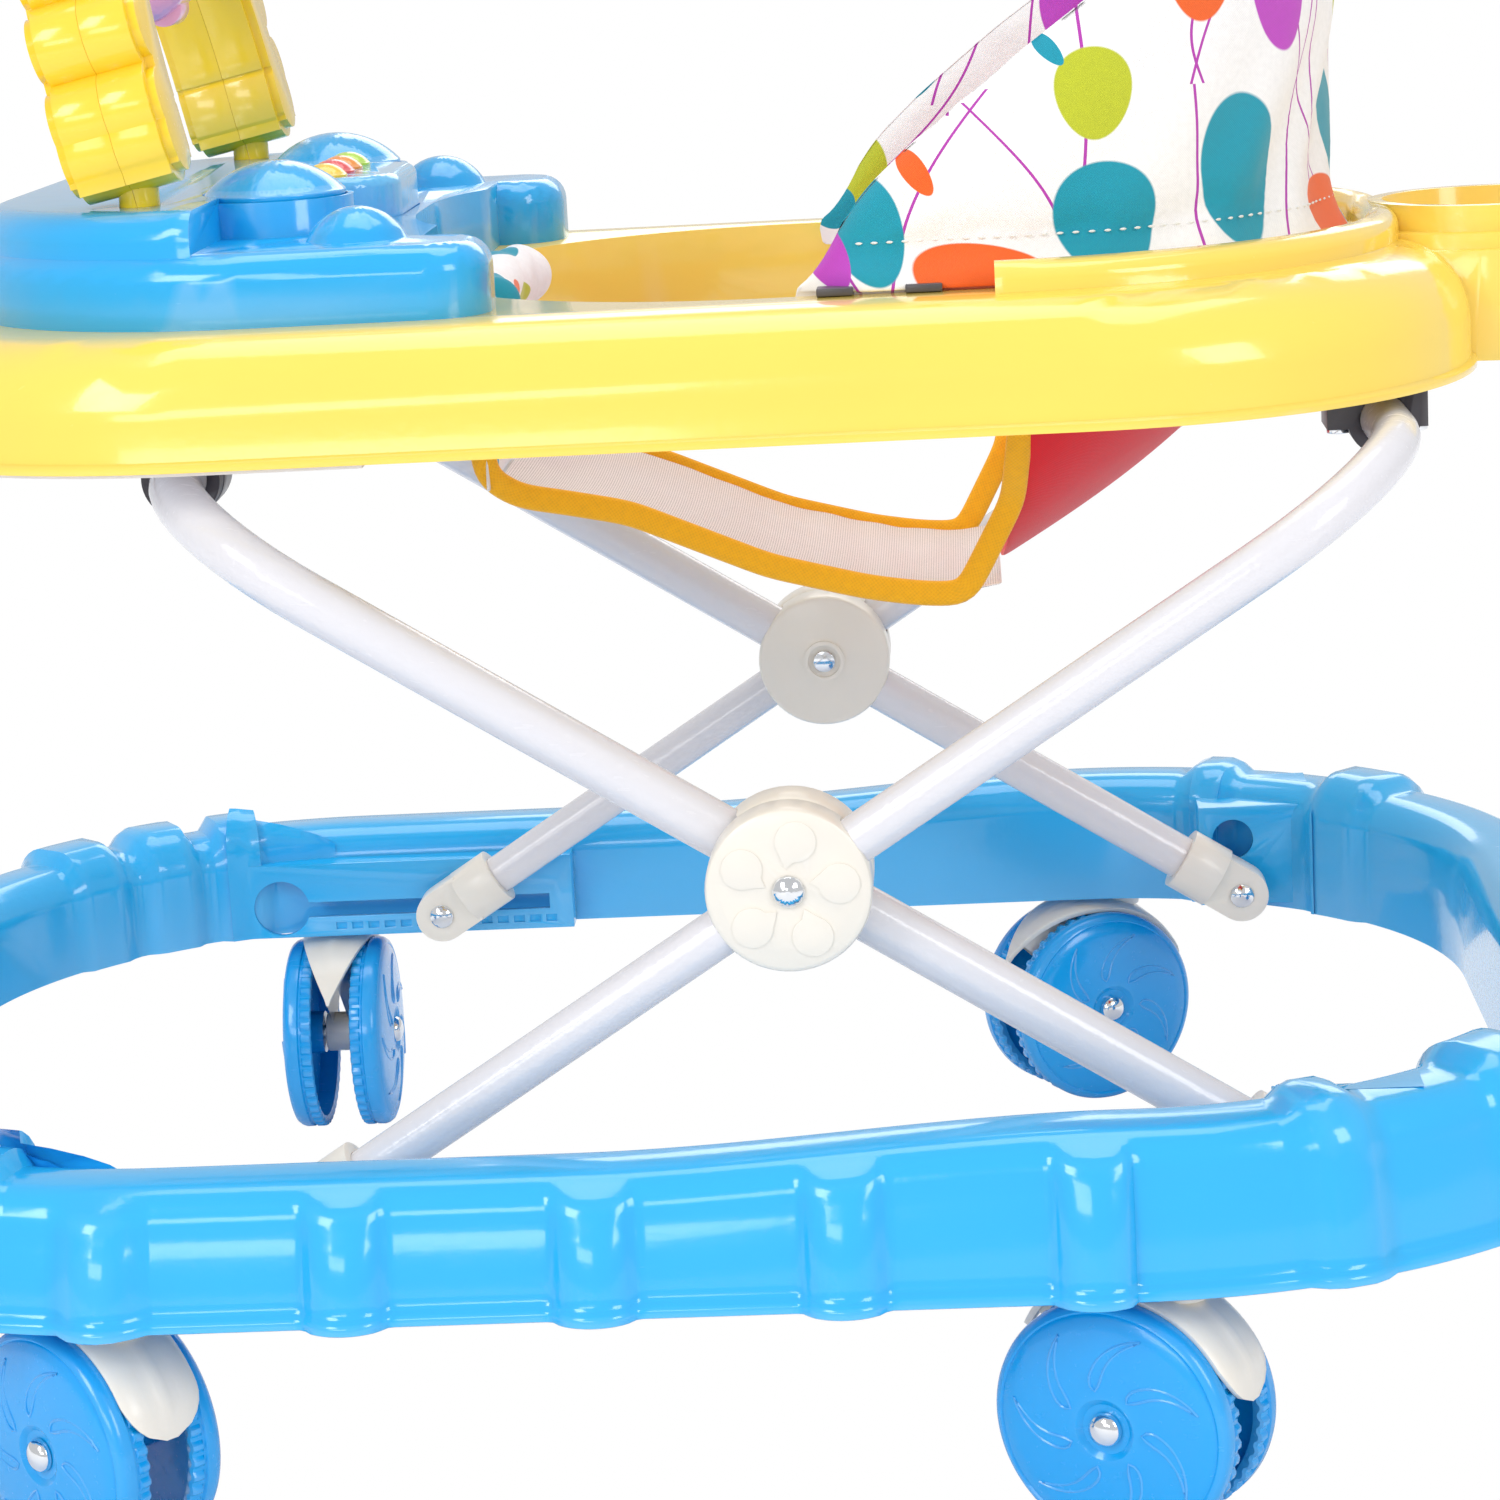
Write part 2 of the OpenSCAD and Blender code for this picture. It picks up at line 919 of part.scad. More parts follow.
module circuit_board() {
  color([0.1, 0.45, 0.2])
    on_console()
      translate([-127, 0, tray_h + 18.2])
        linear_extrude(1.6)
          rr2d(51, 79, 19);
}

module speaker() {
  color([0.15, 0.15, 0.16])
    on_console()
      translate([-127, 0, tray_h + 20])
        rotate_extrude()
          polygon([[0, 0], [9, 0], [9, 2], [15, 4], [15, 5.6], [0, 5.6]]);
}

module key(i, c) {
  color(c)
    on_console()
      translate([-125, key_y[i], tray_h + 33.2])
        rotate_extrude()
          polygon(concat([[0, 0], [8, 0], [8, 6.4]], arc(0, 0.9, 9.7, 35, 90, 6)));
}

module key_yellow() {
  key(0, gold);
}

module key_red() {
  key(1, [0.9, 0.2, 0.25]);
}

module key_orange() {
  key(2, [0.95, 0.5, 0.15]);
}

module key_green() {
  key(3, [0.6, 0.85, 0.3]);
}

// ----------------------------------------------------------------- play arch

arch_t = 19;
arch_leg = 30;

module arch_outline(g) {
  difference() {
    union() {
      difference() {
        translate([0, arch_leg])
          circle(r = arch_r + 8 - g);
        translate([-200, -200 + arch_leg])
          square([400, 200]);
      }
      for (i = [0 : 14])
        translate([(arch_r + 4) * cos(i * 180 / 14), arch_leg + (arch_r + 4) * sin(i * 180 / 14)])
          circle(r = 14 - g);
      for (s = [-1, 1]) {
        translate([s * arch_r - 14 + g, 6 + g])
          square([28 - 2 * g, arch_leg - 6 - g + 1]);
        translate([s * arch_r, 19.5])
          circle(r = 17 - g);
      }
    }
    translate([0, arch_leg])
      circle(r = arch_r - 15 + g);
    translate([-(arch_r - 15) - g, -40])
      square([2 * (arch_r - 15 + g), 40 + arch_leg]);
  }
}

module arch_solid() {
  rotate([90, 0, 90]) {
    translate([0, 0, -arch_t])
      linear_extrude(2 * arch_t)
        arch_outline(3);
    translate([0, 0, -arch_t + 3])
      linear_extrude(2 * arch_t - 6)
        arch_outline(0);
  }
}

module on_arch() {
  on_console()
    translate([-175, 0, tray_h + 40])
      rotate([0, -12, 0])
        children();
}

module arch_half(s) {
  color(gold)
    on_arch()
      difference() {
        intersection() {
          union() {
            arch_solid();
            for (t = [-1, 1])
              translate([0, t * arch_r, 0])
                rotate([0, 12, 0])
                  translate([0, 0, -24])
                    cylinder(r = 6.8, h = 40);
          }
          translate([s > 0 ? 0.05 : -60.05, -180, -60])
            cube([60, 360, 300]);
        }
        rotate([90, 0, 90])
          translate([0, 0, -arch_t + 5.5])
            linear_extrude(2 * arch_t - 11)
              difference() {
                arch_outline(5.5);
                for (t = [-1, 1])
                  translate([t * arch_r - 20, -40])
                    square([40, 66]);
              }
        translate([0, -arch_r - 2, 78])
          rotate([-90, 0, 0])
            cylinder(r = 2.55, h = 2 * arch_r + 4);
      }
}

module arch_front_shell() {
  arch_half(-1);
}

module arch_rear_shell() {
  arch_half(1);
}

module arch_spindle() {
  color(chrome)
    on_arch()
      translate([0, -arch_r + 2, 78])
        rotate([-90, 0, 0])
          cylinder(r = 2.5, h = 2 * arch_r - 4);
}

module spinning_toy() {
  color([0.96, 0.7, 0.8])
    on_arch()
      translate([0, 0, 78])
        rotate([-90, 0, 0])
          difference() {
            union() {
              rotate_extrude()
                polygon(concat([[0, -22], [9, -22]], arc(9, -9, 13, -90, 0, 6), arc(9, 9, 13, 0, 90, 6), [[0, 22]]));
              for (i = [0 : 4])
                rotate([0, 0, i * 72])
                  translate([19, 0, -8])
                    cylinder(r = 6.5, h = 16);
            }
            translate([0, 0, -25])
              cylinder(r = 2.55, h = 50);
          }
}

// ---------------------------------------------------------------------- seat

sw = 134.5;
st = 11;

module seat_wall(out, inn, z0, z1) {
  translate([open_c, 0, z0])
    linear_extrude(z1 - z0)
      difference() {
        rr2d(2 * (open_l / 2 - out), 2 * (open_w / 2 - out), open_r - out);
        rr2d(2 * (open_l / 2 - inn), 2 * (open_w / 2 - inn), open_r - inn);
      }
}

module seat_back() {
  color(white)
    on_tray()
      difference() {
        intersection() {
          seat_wall(3.5, 3.5 + st, 32, tray_h + back_h);
          translate([0, 150, 0])
            rotate([90, 0, 0])
              linear_extrude(300)
                polygon([[48, 32], [48, tray_h + 4], [60, tray_h + 28], [78, tray_h + 52],
                  [102, tray_h + 76], [132, tray_h + 100], [158, tray_h + 0.66 * back_h],
                  [180, tray_h + 0.84 * back_h], [196, tray_h + back_h - 4], [206, tray_h + back_h],
                  [262, tray_h + back_h], [262, 32]]);
        }
        translate([open_c + open_l / 2 - 3.5 - 8, -16.4, 31])
          cube([5, 32.8, back_h - 10]);
      }
}

module seat_back_board() {
  color([0.75, 0.62, 0.45])
    on_tray()
      translate([open_c + open_l / 2 - 3.5 - 7.6, -16, 36])
        cube([4.2, 32, back_h - 20]);
}

module seat_bucket() {
  color([0.92, 0, 0.1])
    on_tray()
      translate([134, 0, -9])
        for (s = [0, 1])
          mirror([0, s, 0]) {
            translate([0, 30, 0])
              rotate_extrude(angle = 90)
                bucket_half();
            translate([0, 30, 0])
              rotate([90, 0, 0])
                linear_extrude(30)
                  bucket_half();
          }
}

module bucket_half() {
  polygon(concat(arc(0, 6, 66, -90, 0, 14), [[66, 22], [62.5, 22]], arc(0, 6, 62.5, 0, -90, 14)));
}

sling = [[-57.6, -29], [-36, -32.5], [-12, -37], [36, -58], [88, -70.5], [116, -69.5], [133.6, -68]];

module strip(y0, y1, t) {
  n = len(sling) - 1;
  translate([0, y1, 0])
    rotate([90, 0, 0])
      linear_extrude(y1 - y0)
        polygon(concat([for (p = sling) p], [for (i = [0 : n]) [sling[n - i][0], sling[n - i][1] + t]]));
}

module crotch_sling() {
  color(white)
    on_tray()
      strip(-58, 58, 2.4);
}

module leg_bindings() {
  color([1, 0.74, 0])
    on_tray()
      both_sides() {
        translate([0, 0, -1])
          strip(58.3, 66.3, 4.4);
        translate([134, 0, -9])
          intersection() {
            union() {
              translate([-5.4, 0, 0])
                rotate([90, 0, 90])
                  linear_extrude(5)
                    difference() {
                      translate([30, 6])
                        circle(r = 67.2);
                      translate([30, 6])
                        circle(r = 61.3);
                      translate([-80, 22])
                        square([240, 80]);
                    }
            }
            translate([-10, 67, -55])
              cube([20, 60, 80]);
          }
      }
}

module front_bib() {
  color(white)
    on_tray() {
      translate([-62, -78, -30])
        cube([4, 156, 37.6]);
      translate([-62, -30, -30])
        cube([4, 60, 52]);
    }
}

module front_pad() {
  rc = open_r - 13;
  color(white)
    on_tray()
      translate([open_c - open_l / 2 + open_r, 0, tray_h - 7]) {
        translate([-rc, -open_w / 2 + open_r, 0])
          rotate([-90, 0, 0])
            cylinder(r = 12, h = open_w - 2 * open_r);
        both_sides()
          translate([0, open_w / 2 - open_r, 0])
            mirror([1, 0, 0])
              rotate_extrude(angle = 24)
                translate([rc, 0])
                  circle(r = 12);
      }
}

module seat_hook() {
  translate([-6, 135, tray_h - 12])
    cube([12, 2.6, 14.8]);
  translate([-6, 135, tray_h + 0.2])
    cube([12, 9.6, 2.6]);
}

module seat_hooks() {
  color(black)
    on_tray()
      both_sides() {
        for (x = [66, 95])
          translate([x, 0, 0])
            seat_hook();
        translate([open_c + open_l / 2 - open_r, open_w / 2 - open_r, 0])
          rotate([0, 0, -68])
            translate([0, open_r - 138, 0])
              seat_hook();
      }
}

// -------------------------------------------------------------------- output

base_ring();
place_caster(0) hood();  // caster_hood_1
place_caster(1) hood();  // caster_hood_2
place_caster(2) hood();  // caster_hood_3
place_caster(3) hood();  // caster_hood_4
place_caster(4) hood();  // caster_hood_5
place_caster(5) hood();  // caster_hood_6
place_caster(0) wheels();  // caster_wheels_1
place_caster(1) wheels();  // caster_wheels_2
place_caster(2) wheels();  // caster_wheels_3
place_caster(3) wheels();  // caster_wheels_4
place_caster(4) wheels();  // caster_wheels_5
place_caster(5) wheels();  // caster_wheels_6
place_caster(0) axle();  // caster_axle_1
place_caster(1) axle();  // caster_axle_2
place_caster(2) axle();  // caster_axle_3
place_caster(3) axle();  // caster_axle_4
place_caster(4) axle();  // caster_axle_5
place_caster(5) axle();  // caster_axle_6
front_foot_frame();
rear_foot_frame();
front_foot_caps();
rear_foot_caps();
front_foot_rivets();
rear_foot_rivets();
outer_hub_discs();
inner_hub_discs();
hub_rivets();
slider_collars();
rear_bar_brackets();
bracket_screws();
tray_shell();
tray_under_plate();
under_plate_screws();
height_latch();
console_shell();
left_dome_button();
right_dome_button();
music_box();
battery_door();
batteries();
circuit_board();
speaker();
key_yellow();
key_red();
key_orange();
key_green();
arch_front_shell();
arch_rear_shell();
arch_spindle();
spinning_toy();
seat_back();
seat_back_board();
seat_bucket();
crotch_sling();
leg_bindings();
front_bib();
front_pad();
seat_hooks();
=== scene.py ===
import json
import math
import bpy
import numpy as np
from mathutils import Matrix, Vector, noise


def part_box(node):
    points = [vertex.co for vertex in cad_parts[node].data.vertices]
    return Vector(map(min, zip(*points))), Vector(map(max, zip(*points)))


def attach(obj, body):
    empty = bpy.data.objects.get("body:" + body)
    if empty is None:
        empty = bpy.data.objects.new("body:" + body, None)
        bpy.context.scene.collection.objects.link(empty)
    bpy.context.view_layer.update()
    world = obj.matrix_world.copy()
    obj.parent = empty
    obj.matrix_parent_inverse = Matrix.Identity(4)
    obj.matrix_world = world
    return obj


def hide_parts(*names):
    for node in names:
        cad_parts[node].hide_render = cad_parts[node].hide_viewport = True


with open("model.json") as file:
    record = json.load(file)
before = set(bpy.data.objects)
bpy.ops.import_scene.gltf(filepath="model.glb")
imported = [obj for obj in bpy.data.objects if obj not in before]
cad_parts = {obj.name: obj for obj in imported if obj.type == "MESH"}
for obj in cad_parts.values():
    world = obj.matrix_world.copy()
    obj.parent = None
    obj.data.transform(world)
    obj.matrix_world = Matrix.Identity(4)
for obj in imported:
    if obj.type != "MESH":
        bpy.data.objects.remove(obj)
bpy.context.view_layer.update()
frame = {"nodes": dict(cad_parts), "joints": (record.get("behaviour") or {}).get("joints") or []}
scene = bpy.context.scene

MM = 0.001
tray_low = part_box("tray_shell")[0]
TRAY = Vector((tray_low.x + 284 * MM, 0, tray_low.z))     # middle of the tray, on its skirt's edge
DECK = 42.0                                               # deck above the skirt's edge, mm
HUB = (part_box("hub_rivets")[0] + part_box("hub_rivets")[1]) / 2
RING_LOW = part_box("base_ring")[0]


# ------------------------------------------------------------------ camera and light

def look(pitch, yaw, roll):
    p, y, r = (math.radians(a) for a in (pitch, yaw, roll))
    ahead = Vector((math.sin(y) * math.cos(p), math.cos(y) * math.cos(p), -math.sin(p)))
    right = Vector((math.cos(y), -math.sin(y), 0))
    up = right.cross(ahead)
    across = right * math.cos(r) + up * math.sin(r)
    above = -right * math.sin(r) + up * math.cos(r)
    return Matrix((across, above, -ahead)).transposed().to_4x4()


camera = bpy.data.objects.new("camera", bpy.data.cameras.new("camera"))
scene.collection.objects.link(camera)
camera.matrix_world = Matrix.Translation((0.1149, -1.4456, 0.5265)) @ look(12.37, -3.45, -3.12)
camera.data.lens = 96.05
camera.data.sensor_width = 36
camera.data.clip_end = 50
scene.camera = camera


def softbox(name, place, aim, size, power, colour=(1, 1, 1)):
    light = bpy.data.lights.new(name, "AREA")
    light.shape, light.size, light.size_y = "RECTANGLE", size[0], size[1]
    light.energy, light.color = power, colour
    lamp = bpy.data.objects.new(name, light)
    scene.collection.objects.link(lamp)
    way = Vector(aim) - Vector(place)
    lamp.matrix_world = Matrix.Translation(place) @ way.to_track_quat("-Z", "Y").to_matrix().to_4x4()


softbox("key_softbox", (-1.5, -2.1, 1.9), (0, 0, 0.3), (0.9, 1.2), 23)
softbox("fill_softbox", (1.9, -1.9, 1.5), (0, 0, 0.3), (0.9, 1.2), 17)
softbox("low_softbox", (-0.7, -2.3, 0.8), (0, 0, 0.2), (1.2, 0.4), 6)
softbox("top_softbox", (0.1, 0.5, 2.6), (0, 0, 0.3), (1.6, 1.6), 19)
softbox("back_softbox", (0.4, 2.6, 1.6), (0, 0, 0.3), (1.8, 1.0), 12)

world = bpy.data.worlds.new("studio")
scene.world = world
world.use_nodes = True
scene.view_settings.view_transform = "Standard"


# ------------------------------------------------------------------ shader parts

def add(tree, kind, wires=None, **settings):
    """A shader node with its settings and its inputs; an input may be a value or another node's socket."""
    made = tree.nodes.new("ShaderNode" + kind)
    for key, value in settings.items():
        setattr(made, key, value)
    for key, value in (wires or {}).items():
        if isinstance(value, bpy.types.NodeSocket):
            tree.links.new(value, made.inputs[key])
        else:
            made.inputs[key].default_value = value
    return made


def new_group(name, takes, gives):
    tree = bpy.data.node_groups.new(name, "ShaderNodeTree")
    for label, kind, value in takes:
        socket = tree.interface.new_socket(label, in_out="INPUT", socket_type="NodeSocket" + kind)
        if value is not None:
            socket.default_value = value
    for label, kind in gives:
        tree.interface.new_socket(label, in_out="OUTPUT", socket_type="NodeSocket" + kind)
    return tree, tree.nodes.new("NodeGroupInput"), tree.nodes.new("NodeGroupOutput")


def maths(tree, operation, *values, clamp=False):
    return add(tree, "Math", dict(enumerate(values)), operation=operation, use_clamp=clamp).outputs[0]


def blend_colour(tree, factor, first, second):
    mixed = add(tree, "Mix", data_type="RGBA", blend_type="MIX")
    for key, value in ((0, factor), (6, first), (7, second)):
        if isinstance(value, bpy.types.NodeSocket):
            tree.links.new(value, mixed.inputs[key])
        else:
            mixed.inputs[key].default_value = value
    return mixed.outputs[2]


def make_moulded():
    tree, take, give = new_group(
        "moulded_skin",
        [("Color", "Color", (1, 1, 1, 1)), ("Gloss", "Float", 0.2), ("Shade", "Float", 0.06),
         ("Peel", "Float", 0.4), ("Wear", "Float", 0.2)],
        [("Color", "Color"), ("Roughness", "Float"), ("Height", "Float")])
    where = add(tree, "TexCoord").outputs["Object"]
    cloud = add(tree, "TexNoise", {"Vector": where, "Scale": 9.0, "Detail": 3.0}).outputs["Fac"]
    peel = add(tree, "TexNoise", {"Vector": where, "Scale": 260.0, "Detail": 2.0}).outputs["Fac"]
    stretched = add(tree, "Mapping", {"Vector": where, "Scale": (35.0, 420.0, 240.0),
                                      "Rotation": (0.2, 0.1, 0.5)})
    scuff = add(tree, "TexNoise", {"Vector": stretched.outputs[0], "Scale": 1.6, "Detail": 5.0}).outputs["Fac"]
    scuff = add(tree, "MapRange", {"Value": scuff, "From Min": 0.6, "From Max": 0.78}).outputs[0]
    edge = add(tree, "NewGeometry").outputs["Pointiness"]
    edge = add(tree, "MapRange", {"Value": edge, "From Min": 0.52, "From Max": 0.6}).outputs[0]
    value = maths(tree, "MULTIPLY_ADD", maths(tree, "SUBTRACT", cloud, 0.5), take.outputs["Shade"], 1.0)
    shaded = add(tree, "HueSaturation", {"Color": take.outputs["Color"], "Value": value}).outputs[0]
    pale = blend_colour(tree, 0.35, shaded, (1, 1, 1, 1))
    worn = maths(tree, "MULTIPLY", edge, take.outputs["Wear"], clamp=True)
    tree.links.new(blend_colour(tree, worn, shaded, pale), give.inputs["Color"])
    wear = maths(tree, "MULTIPLY", take.outputs["Wear"], 0.5)
    rough = maths(tree, "MULTIPLY_ADD", scuff, wear, take.outputs["Gloss"])
    rough = maths(tree, "MULTIPLY_ADD", cloud, 0.06, rough)
    tree.links.new(rough, give.inputs["Roughness"])
    tree.links.new(maths(tree, "MULTIPLY", peel, take.outputs["Peel"]), give.inputs["Height"])
    return tree


def make_weave():
    tree, take, give = new_group(
        "cloth_weave",
        [("Color", "Color", (1, 1, 1, 1)), ("Threads", "Float", 1300.0), ("Slub", "Float", 0.12)],
        [("Color", "Color"), ("Roughness", "Float"), ("Height", "Float")])
    where = add(tree, "UVMap").outputs[0]
    part = add(tree, "SeparateXYZ", {"Vector": where})
    wave = []
    for axis in (0, 1):
        turn = maths(tree, "MULTIPLY", part.outputs[axis], maths(tree, "MULTIPLY", take.outputs["Threads"], 6.2832))
        wave.append(maths(tree, "SINE", turn))
    weave = maths(tree, "MULTIPLY", wave[0], wave[1])
    slub = add(tree, "TexNoise", {"Vector": where, "Scale": 420.0, "Detail": 3.0}).outputs["Fac"]
    crease = add(tree, "TexNoise", {"Vector": where, "Scale": 16.0, "Detail": 4.0, "Distortion": 1.2}).outputs["Fac"]
    shade = maths(tree, "MULTIPLY_ADD", maths(tree, "ADD", maths(tree, "MULTIPLY", weave, 0.35),
                  maths(tree, "SUBTRACT", slub, 0.5)), take.outputs["Slub"], 1.0)
    tree.links.new(add(tree, "HueSaturation", {"Color": take.outputs["Color"], "Value": shade}).outputs[0],
                   give.inputs["Color"])
    tree.links.new(maths(tree, "MULTIPLY_ADD", slub, 0.14, 0.72), give.inputs["Roughness"])
    tree.links.new(maths(tree, "ADD", maths(tree, "MULTIPLY", weave, 0.12), maths(tree, "MULTIPLY", crease, 2.4)),
                   give.inputs["Height"])
    return tree


def make_spot():
    tree, take, give = new_group(
        "printed_leaf",
        [("Centre", "Vector", None), ("Size", "Vector", None), ("Turn", "Vector", None)],
        [("Mask", "Float")])
    where = add(tree, "UVMap").outputs[0]
    local = add(tree, "Mapping", {"Vector": where, "Location": take.outputs["Centre"],
                "Rotation": take.outputs["Turn"], "Scale": take.outputs["Size"]}, vector_type="TEXTURE")
    part = add(tree, "SeparateXYZ", {"Vector": local.outputs[0]})
    egg = maths(tree, "MULTIPLY", part.outputs[0], maths(tree, "MULTIPLY_ADD", part.outputs[1], -0.16, 1.0))
    far = maths(tree, "SQRT", maths(tree, "ADD", maths(tree, "MULTIPLY", egg, egg),
                maths(tree, "MULTIPLY", part.outputs[1], part.outputs[1])))
    inside = add(tree, "MapRange", {"Value": far, "From Min": 1.02, "From Max": 0.98})
    tree.links.new(inside.outputs[0], give.inputs["Mask"])
    return tree


def make_stem():
    tree, take, give = new_group(
        "printed_stem",
        [("Foot", "Float", 0.0), ("Lean", "Float", 0.0), ("Bow", "Float", 0.0), ("Low", "Float", 0.0),
         ("High", "Float", 0.1), ("Width", "Float", 0.0006)],
        [("Mask", "Float")])
    part = add(tree, "SeparateXYZ", {"Vector": add(tree, "UVMap").outputs[0]})
    rise = maths(tree, "SUBTRACT", part.outputs[1], take.outputs["Low"])
    share = maths(tree, "DIVIDE", rise, maths(tree, "SUBTRACT", take.outputs["High"], take.outputs["Low"]))
    bow = maths(tree, "MULTIPLY", maths(tree, "SINE", maths(tree, "MULTIPLY", share, 3.1416)), take.outputs["Bow"])
    leaning = maths(tree, "MULTIPLY", rise, take.outputs["Lean"])
    line = maths(tree, "ADD", maths(tree, "ADD", take.outputs["Foot"], leaning), bow)
    off = maths(tree, "ABSOLUTE", maths(tree, "SUBTRACT", part.outputs[0], line))
    near = maths(tree, "LESS_THAN", off, take.outputs["Width"])
    within = maths(tree, "MULTIPLY", maths(tree, "GREATER_THAN", share, 0.0), maths(tree, "LESS_THAN", share, 1.0))
    tree.links.new(maths(tree, "MULTIPLY", near, within), give.inputs["Mask"])
    return tree


world_tree = world.node_tree
seen = add(world_tree, "LightPath").outputs["Is Camera Ray"]
strength = add(world_tree, "MapRange", {"Value": seen, "To Min": 0.68, "To Max": 1.0}).outputs[0]
world_tree.nodes["Background"].inputs["Color"].default_value = (1, 1, 1, 1)
world_tree.links.new(strength, world_tree.nodes["Background"].inputs["Strength"])

SKIN, WEAVE, LEAF, STEM = make_moulded(), make_weave(), make_spot(), make_stem()
finishes = {}


def use(tree, group, **values):
    made = tree.nodes.new("ShaderNodeGroup")
    made.node_tree = group
    for key, value in values.items():
        if isinstance(value, bpy.types.NodeSocket):
            tree.links.new(value, made.inputs[key])
        else:
            made.inputs[key].default_value = value
    return made


def shader(name, metal=0.0, coat=0.0, sheen=0.0):
    """A material with a bare Principled shader, and its tree."""
    made = bpy.data.materials.new(name)
    made.use_nodes = True
    finishes[name] = made
    main = made.node_tree.nodes["Principled BSDF"]
    main.inputs["Metallic"].default_value = metal
    main.inputs["Coat Weight"].default_value = coat
    main.inputs["Coat Roughness"].default_value = 0.06
    main.inputs["Sheen Weight"].default_value = sheen
    return made, made.node_tree, main


def dress(tree, main, coat, bump):
    """Feeds a group's colour, roughness and height to the shader."""
    tree.links.new(coat.outputs["Color"], main.inputs["Base Color"])
    tree.links.new(coat.outputs["Roughness"], main.inputs["Roughness"])
    relief = add(tree, "Bump", {"Height": coat.outputs["Height"], "Strength": bump, "Distance": MM})
    tree.links.new(relief.outputs[0], main.inputs["Normal"])
    return relief


def plastic(name, colour, gloss=0.16, coat=0.35, shade=0.08, peel=0.25, wear=0.25, bump=0.25, metal=0.0):
    made, tree, main = shader(name, metal=metal, coat=coat)
    skin = use(tree, SKIN, Color=(*colour, 1), Gloss=gloss, Shade=shade, Peel=peel, Wear=wear)
    dress(tree, main, skin, bump)
    return made


plastic("blue_plastic", (0.02, 0.44, 0.88), gloss=0.13, coat=0.5)
plastic("wheel_blue", (0.0, 0.36, 0.84), gloss=0.2, coat=0.4)
plastic("console_blue", (0.01, 0.40, 0.84), gloss=0.13, coat=0.5)
plastic("light_blue_plastic", (0.12, 0.50, 0.86), gloss=0.12, coat=0.6)
plastic("cream_plastic", (0.84, 0.79, 0.71), gloss=0.28, coat=0.15)
plastic("tube_white", (0.74, 0.73, 0.77), gloss=0.2, coat=0.5, peel=0.8, bump=0.3, shade=0.03)
plastic("black_plastic", (0.02, 0.015, 0.025), gloss=0.35, coat=0.1, peel=0.8)
plastic("tray_yellow", (0.98, 0.70, 0.11), gloss=0.14, coat=0.5)
plastic("arch_yellow", (0.98, 0.66, 0.02), gloss=0.17, coat=0.45)
plastic("white_plastic", (0.84, 0.80, 0.80), gloss=0.3, coat=0.15)
plastic("toy_pink", (0.93, 0.42, 0.62), gloss=0.16, coat=0.5)
plastic("key_yellow", (0.97, 0.66, 0.05), gloss=0.12, coat=0.6)
plastic("key_red", (0.85, 0.09, 0.10), gloss=0.12, coat=0.6)
plastic("key_orange", (0.95, 0.32, 0.03), gloss=0.12, coat=0.6)
plastic("key_green", (0.50, 0.78, 0.07), gloss=0.12, coat=0.6)
plastic("battery_wrap", (0.03, 0.03, 0.035), gloss=0.3, coat=0.2)
plastic("board_green", (0.02, 0.16, 0.05), gloss=0.35, coat=0.3, peel=1.5, bump=0.5)
plastic("board_brown", (0.42, 0.29, 0.16), gloss=0.7, coat=0.0, peel=2.0, bump=0.6, shade=0.3)
plastic("chrome", (0.80, 0.82, 0.85), gloss=0.08, coat=0.0, metal=1.0, peel=0.1, bump=0.1, shade=0.04)


# ------------------------------------------------------------------ modelling helpers

def deselect():
    if bpy.context.mode != "OBJECT":
        bpy.ops.object.mode_set(mode="OBJECT")
    bpy.ops.object.select_all(action="DESELECT")


def only(piece):
    deselect()
    piece.select_set(True)
    bpy.context.view_layer.objects.active = piece


def finish_piece(piece, body, finish, replaces=(), smooth=38.0):
    """Settles a piece: its place goes into its mesh, then finish, body and what it stands for."""
    only(piece)
    bpy.ops.object.transform_apply(location=True, rotation=True, scale=True)
    if smooth:
        bpy.ops.object.shade_smooth_by_angle(angle=math.radians(smooth))
    piece.data.materials.clear()
    piece.data.materials.append(finishes[finish])
    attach(piece, body)
    if replaces:
        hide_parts(*replaces)
    return piece


def apply(piece, kind, **settings):
    modifier = piece.modifiers.new(kind.lower(), kind)
    for key, value in settings.items():
        setattr(modifier, key, value)
    only(piece)
    bpy.ops.object.modifier_apply(modifier=modifier.name)


def bevel(piece, edge, limit):
    """Rounds the edges sharper than limit degrees, edge mm wide."""
    apply(piece, "BEVEL", width=edge * MM, segments=2, limit_method="ANGLE", angle_limit=math.radians(limit))


def copy_of_node(node, name):
    """A merged copy of a CAD node, its flat faces made whole."""
    deselect()
    piece = bpy.data.objects.new(name, frame["nodes"][node].data.copy())
    scene.collection.objects.link(piece)
    only(piece)
    bpy.ops.object.mode_set(mode="EDIT")
    bpy.ops.mesh.select_all(action="SELECT")
    bpy.ops.mesh.remove_doubles(threshold=0.01 * MM)
    bpy.ops.mesh.dissolve_limited(angle_limit=math.radians(0.6))
    bpy.ops.object.mode_set(mode="OBJECT")
    return piece


def rounded_copy(node, name, body, finish, edge):
    """A CAD node's own shape with its sharp edges rounded as a mould leaves them."""
    piece = copy_of_node(node, name)
    if edge:
        bevel(piece, edge, 33)
    return finish_piece(piece, body, finish, (node,))


def run_of(points):
    """How far along the line of points each one lies."""
    return np.concatenate([[0], np.cumsum(np.linalg.norm(np.diff(points, axis=0), axis=1))])


